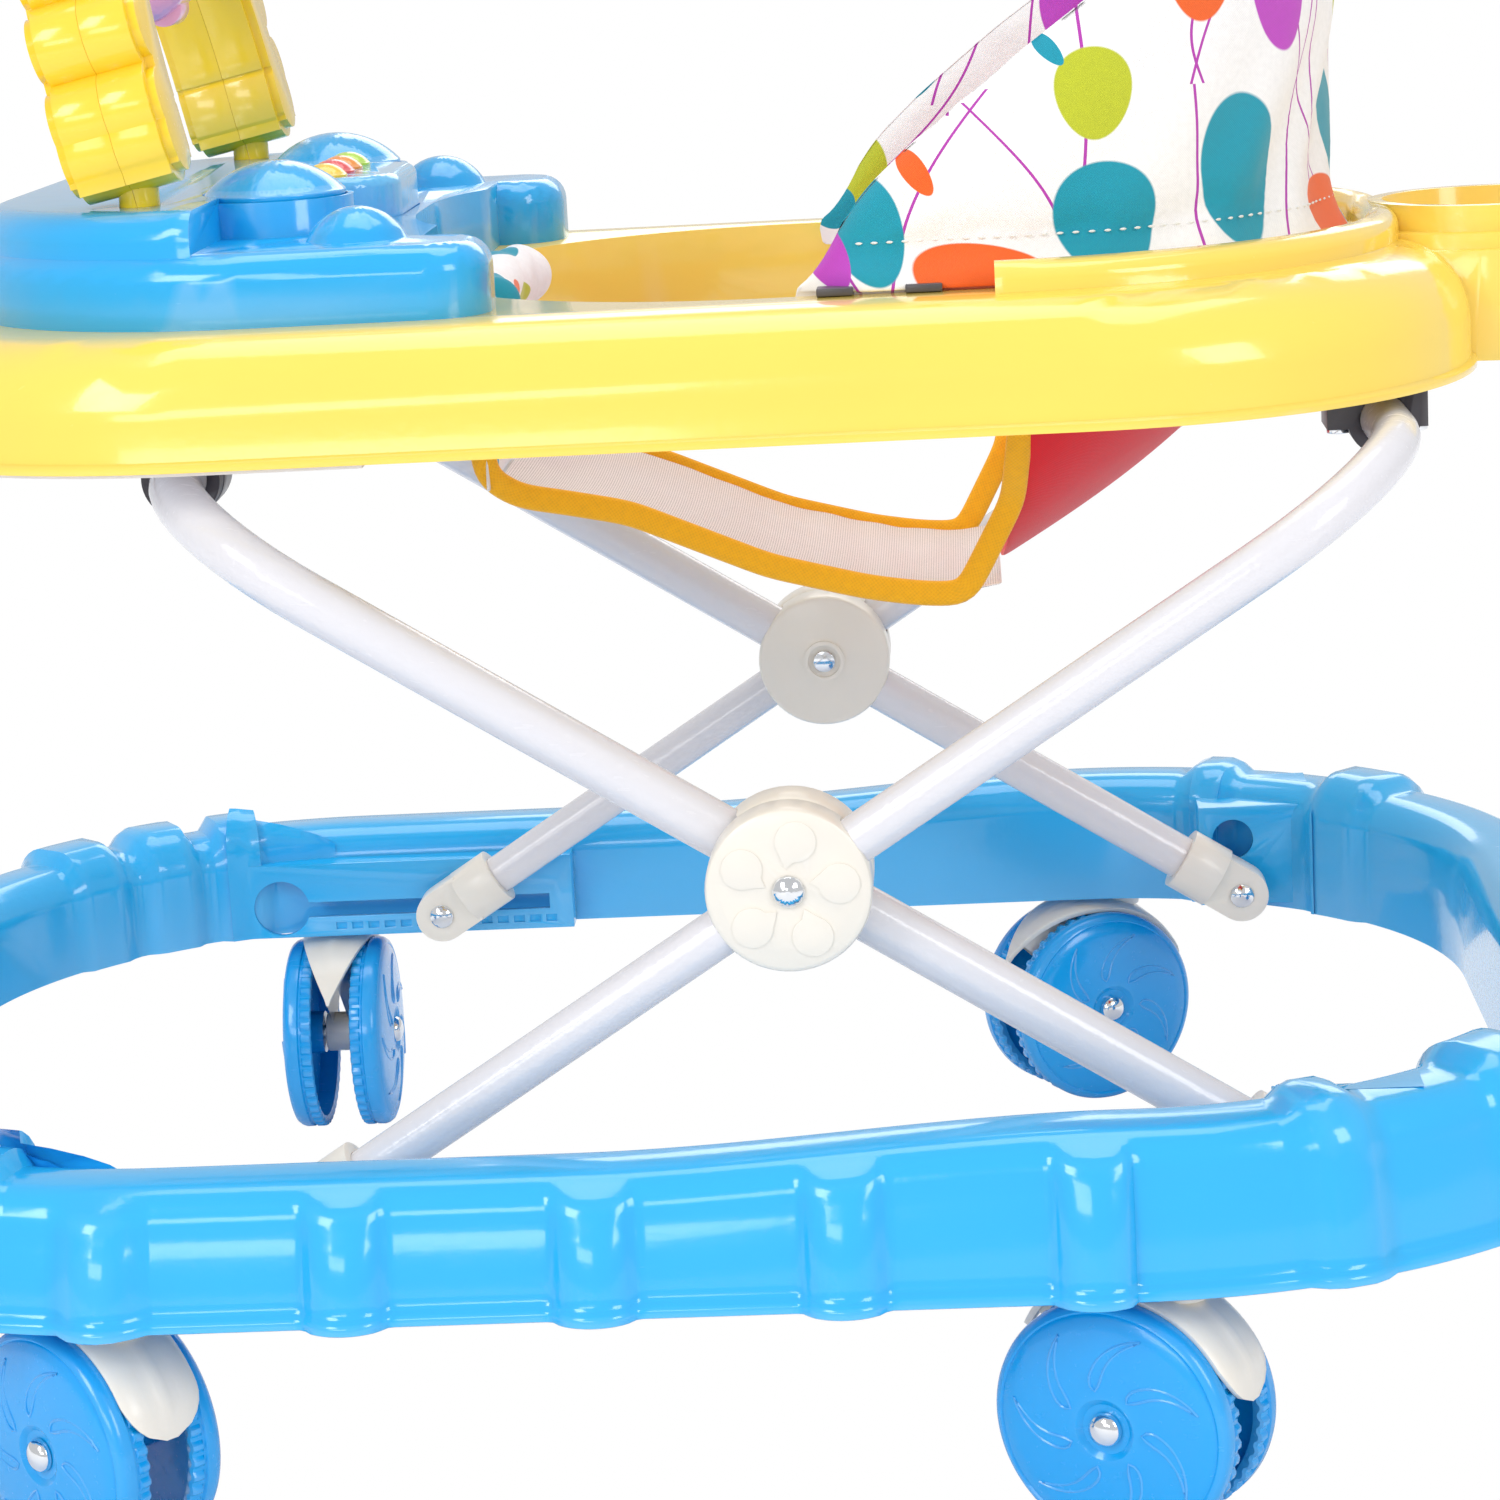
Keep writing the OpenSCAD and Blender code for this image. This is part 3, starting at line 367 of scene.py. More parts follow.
def loft(name, rows, thickness=0.0, uv=None):
    """A grid primitive laid through rows of points (mm); rows or points that meet again are merged."""
    deselect()
    count_v, count_u = len(rows), len(rows[0])
    bpy.ops.mesh.primitive_grid_add(x_subdivisions=count_u - 1, y_subdivisions=count_v - 1, size=1)
    piece = bpy.context.object
    piece.name = piece.data.name = name
    points = np.array(rows, float).reshape(-1, 3) * MM
    piece.data.vertices.foreach_set("co", points.reshape(-1))
    grid = points.reshape(count_v, count_u, 3)
    if uv is None:
        across, along = run_of(grid[count_v // 2]), run_of(grid[:, count_u // 2])
        uv = np.stack(np.meshgrid(across, along), axis=-1)
    uv = np.array(uv, float).reshape(-1, 2)
    corner = np.zeros(len(piece.data.loops), int)
    piece.data.loops.foreach_get("vertex_index", corner)
    piece.data.uv_layers.active.data.foreach_set("uv", uv[corner].reshape(-1))
    bpy.ops.object.mode_set(mode="EDIT")
    bpy.ops.mesh.select_all(action="SELECT")
    bpy.ops.mesh.remove_doubles(threshold=0.02 * MM)
    if not thickness:
        bpy.ops.mesh.normals_make_consistent(inside=False)
    bpy.ops.object.mode_set(mode="OBJECT")
    if thickness:
        apply(piece, "SOLIDIFY", thickness=thickness * MM, offset=0)
    return piece


def place(piece, matrix):
    piece.data.transform(matrix)
    if matrix.to_3x3().determinant() < 0:
        only(piece)
        bpy.ops.object.mode_set(mode="EDIT")
        bpy.ops.mesh.select_all(action="SELECT")
        bpy.ops.mesh.flip_normals()
        bpy.ops.object.mode_set(mode="OBJECT")
    return piece


def close_ends(piece):
    """Fills the open ends of a lofted form and turns its faces outward."""
    only(piece)
    bpy.ops.object.mode_set(mode="EDIT")
    bpy.ops.mesh.select_all(action="DESELECT")
    bpy.ops.mesh.select_non_manifold(extend=False)
    bpy.ops.mesh.edge_face_add()
    bpy.ops.mesh.select_all(action="SELECT")
    bpy.ops.mesh.normals_make_consistent(inside=False)
    bpy.ops.object.mode_set(mode="OBJECT")


def twin(piece, name, matrix):
    """A copy with a mesh of its own, moved by a matrix."""
    made = bpy.data.objects.new(name, piece.data.copy())
    scene.collection.objects.link(made)
    return place(made, matrix)


def join(pieces, name):
    deselect()
    for piece in pieces:
        piece.select_set(True)
    bpy.context.view_layer.objects.active = pieces[0]
    bpy.ops.object.join()
    pieces[0].name = pieces[0].data.name = name
    return pieces[0]


def turned(name, profile, steps=64, teeth=None):
    """Turns a profile of (radius, height) mm about Z; teeth(step) is cut from points with a third value."""
    rows = []
    for i in range(steps + 1):
        a = 2 * math.pi * (i % steps) / steps
        cut = teeth(i) if teeth else 0.0
        radii = [(p[0] - (cut if len(p) > 2 and p[2] else 0), p[1]) for p in profile]
        rows.append([(r * math.cos(a), r * math.sin(a), z) for r, z in radii])
    return loft(name, rows)


def smooth_step(x):
    x = min(1.0, max(0.0, x))
    return x * x * (3 - 2 * x)


MIRROR_Y = Matrix.Scale(-1, 4, (0, 1, 0))
ON_TRAY = Matrix.Translation(TRAY)


def axis_y(place_m):
    """Turns a piece made about Z so that its Z points along +Y, at a place in metres."""
    return Matrix.Translation(place_m) @ Matrix.Rotation(math.radians(-90), 4, "X")


# ------------------------------------------------------------------ floor ring

HALF_L, HALF_W, CORNER = 345.0, 270.0, 190.0


def ring_path():
    """Points round the ring: (corner centre x, y, outward x, y, side name, place along it)."""
    path = []
    long_half, short_half = HALF_L - CORNER, HALF_W - CORNER
    for turn in range(4):
        cx = long_half if turn in (0, 3) else -long_half
        cy = short_half if turn < 2 else -short_half
        for i in range(61):
            a = math.radians(turn * 90 + i * 90 / 60)
            local = i * 90 / 60
            if turn in (0, 2):
                local = 90 - local
            path.append((cx, cy, math.cos(a), math.sin(a), "rear" if cx > 0 else "front", local))
        if turn in (0, 2):
            sign = 1 if turn == 0 else -1
            for x in np.arange(long_half - 2, -long_half + 1, -2.0):
                path.append((sign * x, sign * short_half, 0.0, float(sign), "side", sign * x))
        else:
            sign = -1 if turn == 1 else 1
            for y in np.arange(short_half - 10, -short_half + 1, -10.0):
                path.append((sign * long_half, -sign * y, float(sign), 0.0, "end", -sign * y))
    path.append(path[0])
    return path


# The ring's section, in mm, its radii from the centre of a corner.
RING_IN, RING_OUT, RING_FILLET, RING_LEAN = 144.0, 187.0, 14.0, 5.6
RING_FRONT_H, RING_RISE = 44.0, 8.0
KNUCKLE_AT, KNUCKLE_STEP, KNUCKLE_R, KNUCKLE_SUNK = -14.0, 78.4, 17.0, 9.4
# Collars round each corner: middle and half width in degrees, height in mm.
COLLARS = {"rear": ((21, 3.2, 5.0), (46, 5.2, 6.0)),
           "front": ((21, 3.8, 6.0), (33.5, 4.2, 6.5), (47, 4.8, 6.0))}
# The lip along the outer face's foot: how far it stands out, and its height.
LIP = ((0.9, 4.6), (2.4, 3.6), (3.0, 2.4), (3.0, 0.4), (2.4, 0.0))


def ring_section(side, at, x):
    """The ring's closed cross-section there: (distance from the corner centre, height)."""
    inner, outer, fillet = RING_IN, RING_OUT, RING_FILLET
    high = RING_FRONT_H + RING_RISE * smooth_step((x + 20) / 170)
    swell = 0.0
    for middle, half, rise in COLLARS.get(side, ()):
        swell += rise * smooth_step((half + 0.9 - abs(at - middle)) / 1.8)
    knuckle = 0.0
    along = {"side": at, "front": -(HALF_L - CORNER) - math.radians(at) * CORNER}.get(side)
    if along is not None:
        for k in range(-2, 3):
            away = abs(along - KNUCKLE_AT - KNUCKLE_STEP * k)
            rise = math.sqrt(max(0.0, KNUCKLE_R ** 2 - away ** 2)) - KNUCKLE_SUNK
            knuckle += max(0.0, rise) * smooth_step((15.4 - away) / 5)
    skin = [(inner - 0.3 - swell * 0.5, 0.0)]
    for i in range(9):
        a = math.radians(180 - i * 90 / 8)
        skin.append((inner - 0.3 + fillet + (fillet + swell * 0.5) * math.cos(a),
                     high - fillet + (fillet + swell) * math.sin(a)))
    for i in range(1, 9):
        a = math.radians(90 - i * 90 / 8)
        skin.append((outer - RING_LEAN - fillet + (fillet + swell) * math.cos(a),
                     high - fillet + (fillet + swell) * math.sin(a)))
    for share in (0.85, 0.7, 0.55, 0.4, 0.25, 0.12, 0.02):
        skin.append((outer + swell - 2.3 * share - 3.3 * share ** 2, 6.0 + (high - fillet - 6.0) * share))
    skin += [(outer + swell + out, z) for out, z in LIP]
    section = []
    for r, z in skin:
        lift = max(0.0, z - (high - 27)) / 24.0
        dome = math.sqrt(max(0.0, 1 - lift ** 2))
        section.append((r + (knuckle * dome if r > outer - 9 else 0.0), z))
    inside = [(outer - 3.4, 0.0), (outer - 9.5, high - 16), (outer - 15.0, high - 6),
              (inner + 9.0, high - 6), (inner + 3.0, high - 16), (inner + 3.0, 0.0)]
    return section + inside + [section[0]]


def floor_ring():
    rows = []
    for cx, cy, nx, ny, side, at in ring_path():
        rows.append([(cx + nx * r, cy + ny * r, 88 + z) for r, z in ring_section(side, at, cx + nx * CORNER)])
    return finish_piece(loft("floor_ring", rows), "base", "blue_plastic", ("base_ring",), 50)


def ring_block(name, low_x, high_x, side):
    """The slotted block or foot pad on the ring's inner face, cut from the ring's own CAD shape."""
    piece = copy_of_node("base_ring", name)
    bpy.ops.object.mode_set(mode="EDIT")
    for place_at, way in (((low_x * MM, 0, 0), (-1, 0, 0)), ((high_x * MM, 0, 0), (1, 0, 0)),
                          ((0, 223.4 * MM * side, 0), (0, side, 0)), ((0, 0, 0), (0, -side, 0))):
        bpy.ops.mesh.select_all(action="SELECT")
        bpy.ops.mesh.bisect(plane_co=place_at, plane_no=way, clear_outer=True, use_fill=False)
    bpy.ops.mesh.select_all(action="SELECT")
    bpy.ops.object.mode_set(mode="OBJECT")
    bevel(piece, 0.7, 40)
    return finish_piece(piece, "base", "blue_plastic", (), 38)


def stem_sockets():
    """The round sockets inside the ring that the caster stems turn in."""
    made = []
    for i in range(6):
        low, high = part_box(f"caster_hood_{i + 1}")
        joint = next(j for j in frame["joints"] if j["name"] == f"caster_swivel_{i + 1}")
        x, y, _ = joint["pos_m"]
        socket = turned("socket", [(4.1, 0.5), (4.1, 38.0), (9.0, 40.0), (9.0, 2.0), (8.0, 0.5), (4.1, 0.5)], 40)
        made.append(place(socket, Matrix.Translation((x, y, RING_LOW.z))))
    finish_piece(join(made, "stem_sockets"), "base", "blue_plastic")


floor_ring()
for label, side in (("left", 1), ("right", -1)):
    ring_block("slot_block_" + label, -212.0, -60.0, side)
    ring_block("foot_pad_" + label, 200.0, 249.0, side)
stem_sockets()


# ------------------------------------------------------------------ casters

WHEEL_R, TRAIL, AXLE_Z = 41.0, 18.0, 41.0


def comma(radius_in, radius_out, bead):
    """One raised comma outline on a wheel's face: a thin bead from a round inner end to a pointed outer end."""
    left, right = [], []
    for i in range(13):
        t = i / 12
        r = radius_in + (radius_out - radius_in) * t
        bend = 0.62 * t ** 1.5
        half = 0.15 * math.sqrt(max(0.0, min(1.0, t * 5))) * (1 - t) ** 0.75
        left.append((r * math.cos(bend + half), r * math.sin(bend + half)))
        right.append((r * math.cos(bend - half), r * math.sin(bend - half)))
    ring = left + right[-2:0:-1]
    rows = []
    count = len(ring)
    for i in range(count + 1):
        x, y = ring[i % count]
        ax, ay = ring[(i - 1) % count]
        bx, by = ring[(i + 1) % count]
        dx, dy = bx - ax, by - ay
        size = math.hypot(dx, dy) or 1.0
        nx, ny = dy / size, -dx / size
        rows.append([(x + nx * bead * c, y + ny * bead * c, h) for c, h in
                     ((-1, -0.6), (-0.8, 0.25), (0, 0.55), (0.8, 0.25), (1, -0.6), (-1, -0.6))])
    return loft("comma", rows)


def wheel_half():
    """One wheel of the pair, about Z, its outer face up; the hood's gap is at low z."""
    teeth = lambda i: 1.0 if i % 4 < 2 else 0.0
    profile = [(3.05, 8.2), (9, 8.2), (9.5, 18.0), (WHEEL_R - 5.0, 16.4), (WHEEL_R - 4.4, 9.0), (WHEEL_R - 1.6, 8.2, 1),
               (WHEEL_R - 0.4, 8.6, 1), (WHEEL_R, 9.6, 1), (WHEEL_R, 12.4, 1), (WHEEL_R - 0.9, 12.9), (WHEEL_R - 0.9, 13.6),
               (WHEEL_R - 0.1, 14.2), (WHEEL_R, 17.0), (WHEEL_R - 0.5, 18.6), (WHEEL_R - 1.6, 20.0), (WHEEL_R - 2.8, 20.5),
               (WHEEL_R - 3.5, 20.1), (WHEEL_R - 4.3, 20.7), (WHEEL_R - 9, 21.6), (WHEEL_R - 16, 22.4), (15, 22.9),
               (10.2, 23.2), (9.2, 22.6), (8.2, 21.8), (6.8, 21.6), (3.05, 21.6)]
    made = turned("wheel", profile, 192, teeth)
    parts = [made]
    first = comma(13.0, 33.0, 0.55)
    slope = lambda r: 22.95 - max(0.0, r - 15) * 0.085
    for v in first.data.vertices:
        v.co.z += slope(math.hypot(v.co.x, v.co.y) / MM) * MM
    for i in range(7):
        parts.append(twin(first, "comma_copy", Matrix.Rotation(i * 2 * math.pi / 7, 4, "Z")))
    bpy.data.objects.remove(first)
    return join(parts, "wheel_half")


def hood_shell():
    """The cream crescent over the wheels: a pointed tip in front, a round tail, a low ridge along the middle."""
    rows = []
    for i in range(37):
        t = i / 36
        a = math.radians(12 + 138 * t)
        tail = math.sqrt(max(0.02, 1 - ((0.16 - t) / 0.16) ** 2)) if t < 0.16 else 1.0
        tip = (1 - ((t - 0.52) / 0.48) ** 1.7) if t > 0.52 else 1.0
        half = 14.6 * max(0.03, min(tail, tip))
        row = []
        for j in range(15):
            y = half * (-1 + 2 * j / 14)
            ridge = 0.9 * math.exp(-(y / 2.4) ** 2) * smooth_step((0.9 - t) / 0.3) * smooth_step(t / 0.2)
            drop = 2.2 * (y / 14.6) ** 4
            r = 43.9 - drop + ridge - 2.0 * smooth_step((0.12 - t) / 0.12)
            row.append((-TRAIL + r * math.cos(a), y, AXLE_Z + r * math.sin(a)))
        rows.append(row)
    shell = loft("hood_shell", rows, thickness=2.2)
    bevel(shell, 0.5, 40)
    stem = turned("stem", [(0, 70.5), (6.0, 70.5), (6.0, 80.0), (8.4, 81.0), (8.8, 84.0), (8.4, 87.0),
                           (4.0, 87.0), (4.0, 124.0), (3.2, 124.6), (0, 124.6)], 40)
    web = [[(-TRAIL + r * math.cos(math.radians(a)), y, AXLE_Z + r * math.sin(math.radians(a))) for r, y in
            ((8, -3.6), (43, -3.6), (43, 3.6), (8, 3.6), (8, -3.6))] for a in range(38, 139, 10)]
    web = loft("web", web)
    hub = place(turned("hub", [(3.06, -7), (8.0, -7), (8.5, -6.5), (8.5, 6.5), (8.0, 7), (3.06, 7), (3.06, -7)], 40),
                axis_y((-TRAIL * MM, 0, AXLE_Z * MM)))
    return join([shell, stem, web, hub], "hood")


def casters():
    half, hood = wheel_half(), hood_shell()
    pin = axis_y((-TRAIL * MM, 0, AXLE_Z * MM))
    cap = turned("cap", [(0, 21.9), (5.6, 21.9), (5.6, 23.0), (5.0, 24.3), (3.4, 25.3), (1.6, 25.85), (0, 26.0)], 32)
    rod = turned("rod", [(0, -22), (3.0, -22), (3.0, 22), (0, 22)], 24)
    for i in range(1, 7):
        joint = next(j for j in frame["joints"] if j["name"] == f"wheel_spin_{i}")
        stem = next(j for j in frame["joints"] if j["name"] == f"caster_swivel_{i}")["pos_m"]
        yaw = math.atan2(-joint["axis"][0], joint["axis"][1])
        spot = Matrix.Translation((stem[0], stem[1], 0)) @ Matrix.Rotation(yaw, 4, "Z")
        pair = [twin(half, "a", spot @ pin), twin(half, "b", spot @ MIRROR_Y @ pin)]
        finish_piece(join(pair, f"twin_wheels_{i}"), f"wheel_pair_{i}", "wheel_blue",
                     (f"caster_wheels_{i}",), 30)
        caps = [twin(cap, "a", spot @ pin), twin(cap, "b", spot @ MIRROR_Y @ pin), twin(rod, "c", spot @ pin)]
        finish_piece(join(caps, f"wheel_axle_{i}"), f"wheel_pair_{i}", "chrome",
                     (f"caster_axle_{i}",), 50)
        finish_piece(twin(hood, f"wheel_hood_{i}", spot), f"caster_{i}", "cream_plastic",
                     (f"caster_hood_{i}",), 40)
    for start in (half, hood, cap, rod):
        bpy.data.objects.remove(start)


casters()


# ------------------------------------------------------------------ frames and small hardware

REAR_BODY, FRONT_BODY = "rear_foot_frame_body", "front_foot_frame_body"
# Along an arm from the hub: to the tube's end, to the cross bar; and the bend between them.
ARM_LOW, ARM_UP, BEND = 186.0, 240.0, 60.0


def bent_tube(node, name, body, angle, radius, half):
    """One steel tube bent into a U: up one side, across under the tray, down the other."""
    straight, sides, edge = ARM_UP - BEND, 40, 0.4
    line = [(x, half, 1.0, 0.0) for x in (-ARM_LOW, -150, -110, -70, -30, 10, 50, 90, 130, 160, straight)]
    for i in range(1, 13):
        a = math.radians(i * 90 / 12)
        line.append((straight + BEND * math.sin(a), half - BEND + BEND * math.cos(a), math.cos(a), -math.sin(a)))
    line += [(ARM_UP, y, 0.0, -1.0) for y in (half - BEND - 30, half - BEND - 70, 0.0)]
    line += [(x, -y, -dx, dy) for x, y, dx, dy in line[-2::-1]]
    tilt, rows = math.radians(angle), []
    ends = {0: (0.0, radius - edge, radius), len(line) - 1: (radius, radius - edge, 0.0)}
    for i, (x, y, dx, dy) in enumerate(line):
        for size in ends.get(i, (radius,)):
            row = []
            for j in range(sides + 1):
                a = 2 * math.pi * (j % sides) / sides
                px, py, pz = x - dy * size * math.cos(a), y + dx * size * math.cos(a), size * math.sin(a)
                row.append((px * math.cos(tilt) - pz * math.sin(tilt), py,
                            px * math.sin(tilt) + pz * math.cos(tilt)))
            rows.append(row)
    piece = place(loft(name, rows), Matrix.Translation(HUB))
    return finish_piece(piece, body, "tube_white", (node,), 50)


bent_tube("front_foot_frame", "front_foot_tube", FRONT_BODY, 32.5, 8.0, 198.2)
bent_tube("rear_foot_frame", "rear_foot_tube", REAR_BODY, 147.5, 9.0, 180.7)
for node, name, body, finish, edge in (
        ("front_foot_caps", "front_tube_feet", FRONT_BODY, "cream_plastic", 1.2),
        ("rear_foot_caps", "rear_tube_feet", REAR_BODY, "cream_plastic", 1.2),
        ("front_foot_rivets", "front_foot_pins", FRONT_BODY, "chrome", 0.2),
        ("rear_foot_rivets", "rear_foot_pins", REAR_BODY, "chrome", 0.2),
        ("outer_hub_discs", "outer_discs", FRONT_BODY, "cream_plastic", 0.4),
        ("inner_hub_discs", "inner_discs", REAR_BODY, "cream_plastic", 0.6),
        ("hub_rivets", "hub_pins", FRONT_BODY, "chrome", 0.2),
        ("slider_collars", "sliding_collars", REAR_BODY, "black_plastic", 0.6),
        ("rear_bar_brackets", "bar_brackets", "tray", "black_plastic", 0.8),
        ("bracket_screws", "bar_bracket_screws", "tray", "chrome", 0.2),
        ("under_plate_screws", "plate_screws", "tray", "chrome", 0.2),
        ("tray_under_plate", "under_plate", "tray", "white_plastic", 0.7),
        ("height_latch", "height_catch", "latch", "white_plastic", 0.7),
        ("tray_shell", "tray_moulding", "tray", "tray_yellow", 0.8),
        ("console_shell", "console_moulding", "tray", "console_blue", 1.4),
        ("left_dome_button", "left_dome", "left_button", "console_blue", 0.8),
        ("right_dome_button", "right_dome", "right_button", "console_blue", 0.8),
        ("music_box", "music_box_case", "tray", "light_blue_plastic", 0.8),
        ("battery_door", "battery_hatch", "tray", "light_blue_plastic", 0.4),
        ("key_yellow", "yellow_button", "yellow_key", "key_yellow", 0.6),
        ("key_red", "red_button", "red_key", "key_red", 0.6),
        ("key_orange", "orange_button", "orange_key", "key_orange", 0.6),
        ("key_green", "green_button", "green_key", "key_green", 0.6),
        ("arch_front_shell", "arch_front_half", "tray", "arch_yellow", 2.0),
        ("arch_rear_shell", "arch_rear_half", "tray", "arch_yellow", 2.0),
        ("spinning_toy", "pink_spinner", "toy", "toy_pink", 1.6),
        ("seat_hooks", "cloth_hooks", "tray", "black_plastic", 0.4)):
    rounded_copy(node, name, body, finish, edge)
for node, finish in (("batteries", "battery_wrap"), ("circuit_board", "board_green"), ("speaker", "black_plastic"),
                     ("arch_spindle", "chrome"), ("seat_back_board", "board_brown")):
    frame["nodes"][node].data.materials.clear()
    frame["nodes"][node].data.materials.append(finishes[finish])


# ------------------------------------------------------------------ seat cloth materials

TEAL, LIME, ORANGE, MAGENTA, STEM_PURPLE = ((0.0, 0.30, 0.42, 1), (0.50, 0.55, 0.02, 1), (0.84, 0.12, 0.01, 1),
                                            (0.50, 0.05, 0.52, 1), (0.45, 0.04, 0.42, 1))

# printed leaves: (place round the back, height above the deck, half width, half height, turn, colour), mm
NEAR_LEAVES = (
    (238, 20, 12.5, 19, -22, TEAL), (160, 20, 17, 19, 0, TEAL), (108, 32, 17, 26, 6, TEAL), (17, 34, 15, 30, 0, TEAL),
    (201, 3, 22, 11, 8, ORANGE), (49, 9, 20, 16, 0, ORANGE), (124, 100, 14, 18, 0, ORANGE), (163, 61, 12.5, 15, 0, LIME),
    (22, 92, 13, 22, 0, LIME), (86, 92, 15, 22, -10, MAGENTA), (251, 12, 7, 12, -30, MAGENTA), (221, 38, 4, 9, -35, ORANGE),
    (177, 76, 3, 7, -40, TEAL), (60, 130, 16, 20, 10, LIME), (100, 150, 16, 22, -8, TEAL), (140, 140, 12, 18, 10, MAGENTA),
    (14, 150, 17, 20, 0, ORANGE), (60, 178, 14, 18, 5, MAGENTA))
FAR_LEAVES = (
    (-245, 20, 11, 15, 12, LIME), (-256, 6, 9, 8, 20, TEAL), (-219, 54, 3.5, 9, -40, TEAL), (-190, 22, 17, 20, 0, ORANGE),
    (-140, 30, 17, 24, 6, TEAL), (-160, 82, 13, 18, 0, MAGENTA), (-96, 40, 15, 19, -6, LIME), (-40, 48, 16, 24, 0, MAGENTA),
    (-110, 105, 15, 20, 8, ORANGE), (-60, 118, 16, 22, -6, TEAL), (-25, 95, 13, 17, 0, ORANGE), (-70, 170, 15, 20, 0, LIME),
    (-30, 165, 14, 19, 0, TEAL), (-75, 12, 14, 14, 0, ORANGE))
# printed stems: (foot, lean, bow, low, high), mm along and up
STEMS = (
    (172, -0.02, -5, -4, 112), (170, 0.55, -9, -4, 60), (129, -0.02, -2, 2, 62), (129, -0.62, 5, 62, 118),
    (96, -0.35, -7, -2, 96), (58, 0.06, -5, 20, 112), (50, 0.35, 4, 20, 130), (230, -0.5, 7, -2, 64),
    (210, -0.25, 4, 56, 86), (124, 0.02, 4, 62, 92), (184, -0.35, 5, 80, 124), (240, 0.3, 3, 0, 24),
    (-236, 0.75, 7, 20, 74), (-216, 0.55, -4, 44, 96), (-190, 0.2, 5, 20, 90), (-96, -0.3, 7, 50, 128),
    (-40, 0.1, 6, 64, 150), (-150, 0.3, -6, 40, 110), (12, 0.1, 3, 40, 160), (-14, 0.12, -4, 0, 100))


def printed_cloth(name, leaves, stems, ground=(0.90, 0.89, 0.90, 1)):
    made, tree, main = shader(name, sheen=0.25)
    colour = add(tree, "RGB").outputs[0]
    colour.default_value = ground
    for foot, lean, bow, low, high in stems:
        mask = use(tree, STEM, Foot=foot * MM, Lean=lean, Bow=bow * MM, Low=low * MM, High=high * MM, Width=0.55 * MM)
        colour = blend_colour(tree, mask.outputs[0], colour, STEM_PURPLE)
    for at, up, wide, high, turn, ink in leaves:
        mask = use(tree, LEAF, Centre=(at * MM, up * MM, 0), Size=(wide * MM, high * MM, 1),
                   Turn=(0, 0, math.radians(turn)))
        colour = blend_colour(tree, mask.outputs[0], colour, ink)
    cloth = use(tree, WEAVE, Color=colour, Threads=1150.0, Slub=0.16)
    dress(tree, main, cloth, 0.35)
    return made


printed_cloth("printed_back", NEAR_LEAVES + FAR_LEAVES, STEMS)
printed_cloth("printed_small", (
    (25, 12, 11, 9, 20, TEAL), (62, 34, 12, 10, -30, LIME), (96, 14, 10, 12, 10, MAGENTA), (128, 38, 13, 10, 0, ORANGE),
    (160, 16, 12, 9, 0, LIME), (196, 40, 11, 12, 15, TEAL), (226, 12, 12, 9, -20, ORANGE), (262, 34, 11, 10, 0, LIME),
    (40, 60, 10, 11, 0, ORANGE), (110, 64, 12, 10, 20, TEAL), (176, 66, 11, 11, 0, MAGENTA), (240, 62, 12, 10, 0, TEAL),
    (14, 100, 9, 11, 10, TEAL), (42, 86, 9, 12, -20, LIME), (60, 116, 10, 9, 0, MAGENTA), (22, 138, 10, 10, 30, ORANGE)),
    ((20, 0.3, 6, 4, 60), (80, -0.2, 5, 0, 56), (118, 0.3, -6, 6, 66), (150, -0.3, 5, 0, 60), (210, 0.2, 6, 4, 60),
     (250, -0.2, 5, 8, 66)))


def plain_cloth(name, colour, threads, slub, bump, sheen=0.3, holes=0.0):
    made, tree, main = shader(name, sheen=sheen)
    cloth = use(tree, WEAVE, Color=(*colour, 1), Threads=threads, Slub=slub)
    dress(tree, main, cloth, bump)
    if holes:
        part = add(tree, "SeparateXYZ", {"Vector": add(tree, "UVMap").outputs[0]})
        net = []
        for axis in (0, 1):
            turn = maths(tree, "MULTIPLY", part.outputs[axis], 6.2832 * 560)
            net.append(maths(tree, "ABSOLUTE", maths(tree, "SINE", turn)))
        hole = maths(tree, "MULTIPLY", net[0], net[1])
        hole = add(tree, "MapRange", {"Value": hole, "From Min": 0.45, "From Max": 0.7,
                                      "To Min": 1.0, "To Max": 1.0 - holes})
        tree.links.new(hole.outputs[0], main.inputs["Alpha"])
    return made


plain_cloth("red_cloth", (0.78, 0.0, 0.012), 900.0, 0.16, 0.3)
plain_cloth("mesh_cloth", (0.90, 0.84, 0.82), 560.0, 0.1, 0.4, holes=0.45)
plain_cloth("yellow_tape", (0.98, 0.47, 0.0), 700.0, 0.22, 0.5)
plain_cloth("stitch_thread", (0.86, 0.86, 0.84), 2200.0, 0.2, 0.3)


# ------------------------------------------------------------------ seat

OPEN_C, OPEN_L, OPEN_W, OPEN_R = 82.5, 319.0, 276.0, 120.0


def seat_path(s, inset):
    """Place (x, y) and outward way on the seat opening's edge, s mm round from the middle of the back (+ to -Y)."""
    side = -1.0 if s > 0 else 1.0
    s, radius, straight = abs(s), OPEN_R - inset, OPEN_W / 2 - OPEN_R
    mean = OPEN_R - 9.0
    if s < straight:
        return OPEN_C + OPEN_L / 2 - inset, side * s, 1.0, 0.0
    s -= straight
    corner_x = OPEN_C + OPEN_L / 2 - OPEN_R
    if s < mean * math.pi / 2:
        a = s / mean
        y = side * (straight + radius * math.sin(a))
        return corner_x + radius * math.cos(a), y, math.cos(a), side * math.sin(a)
    return corner_x - (s - mean * math.pi / 2), side * (straight + radius), 0.0, side


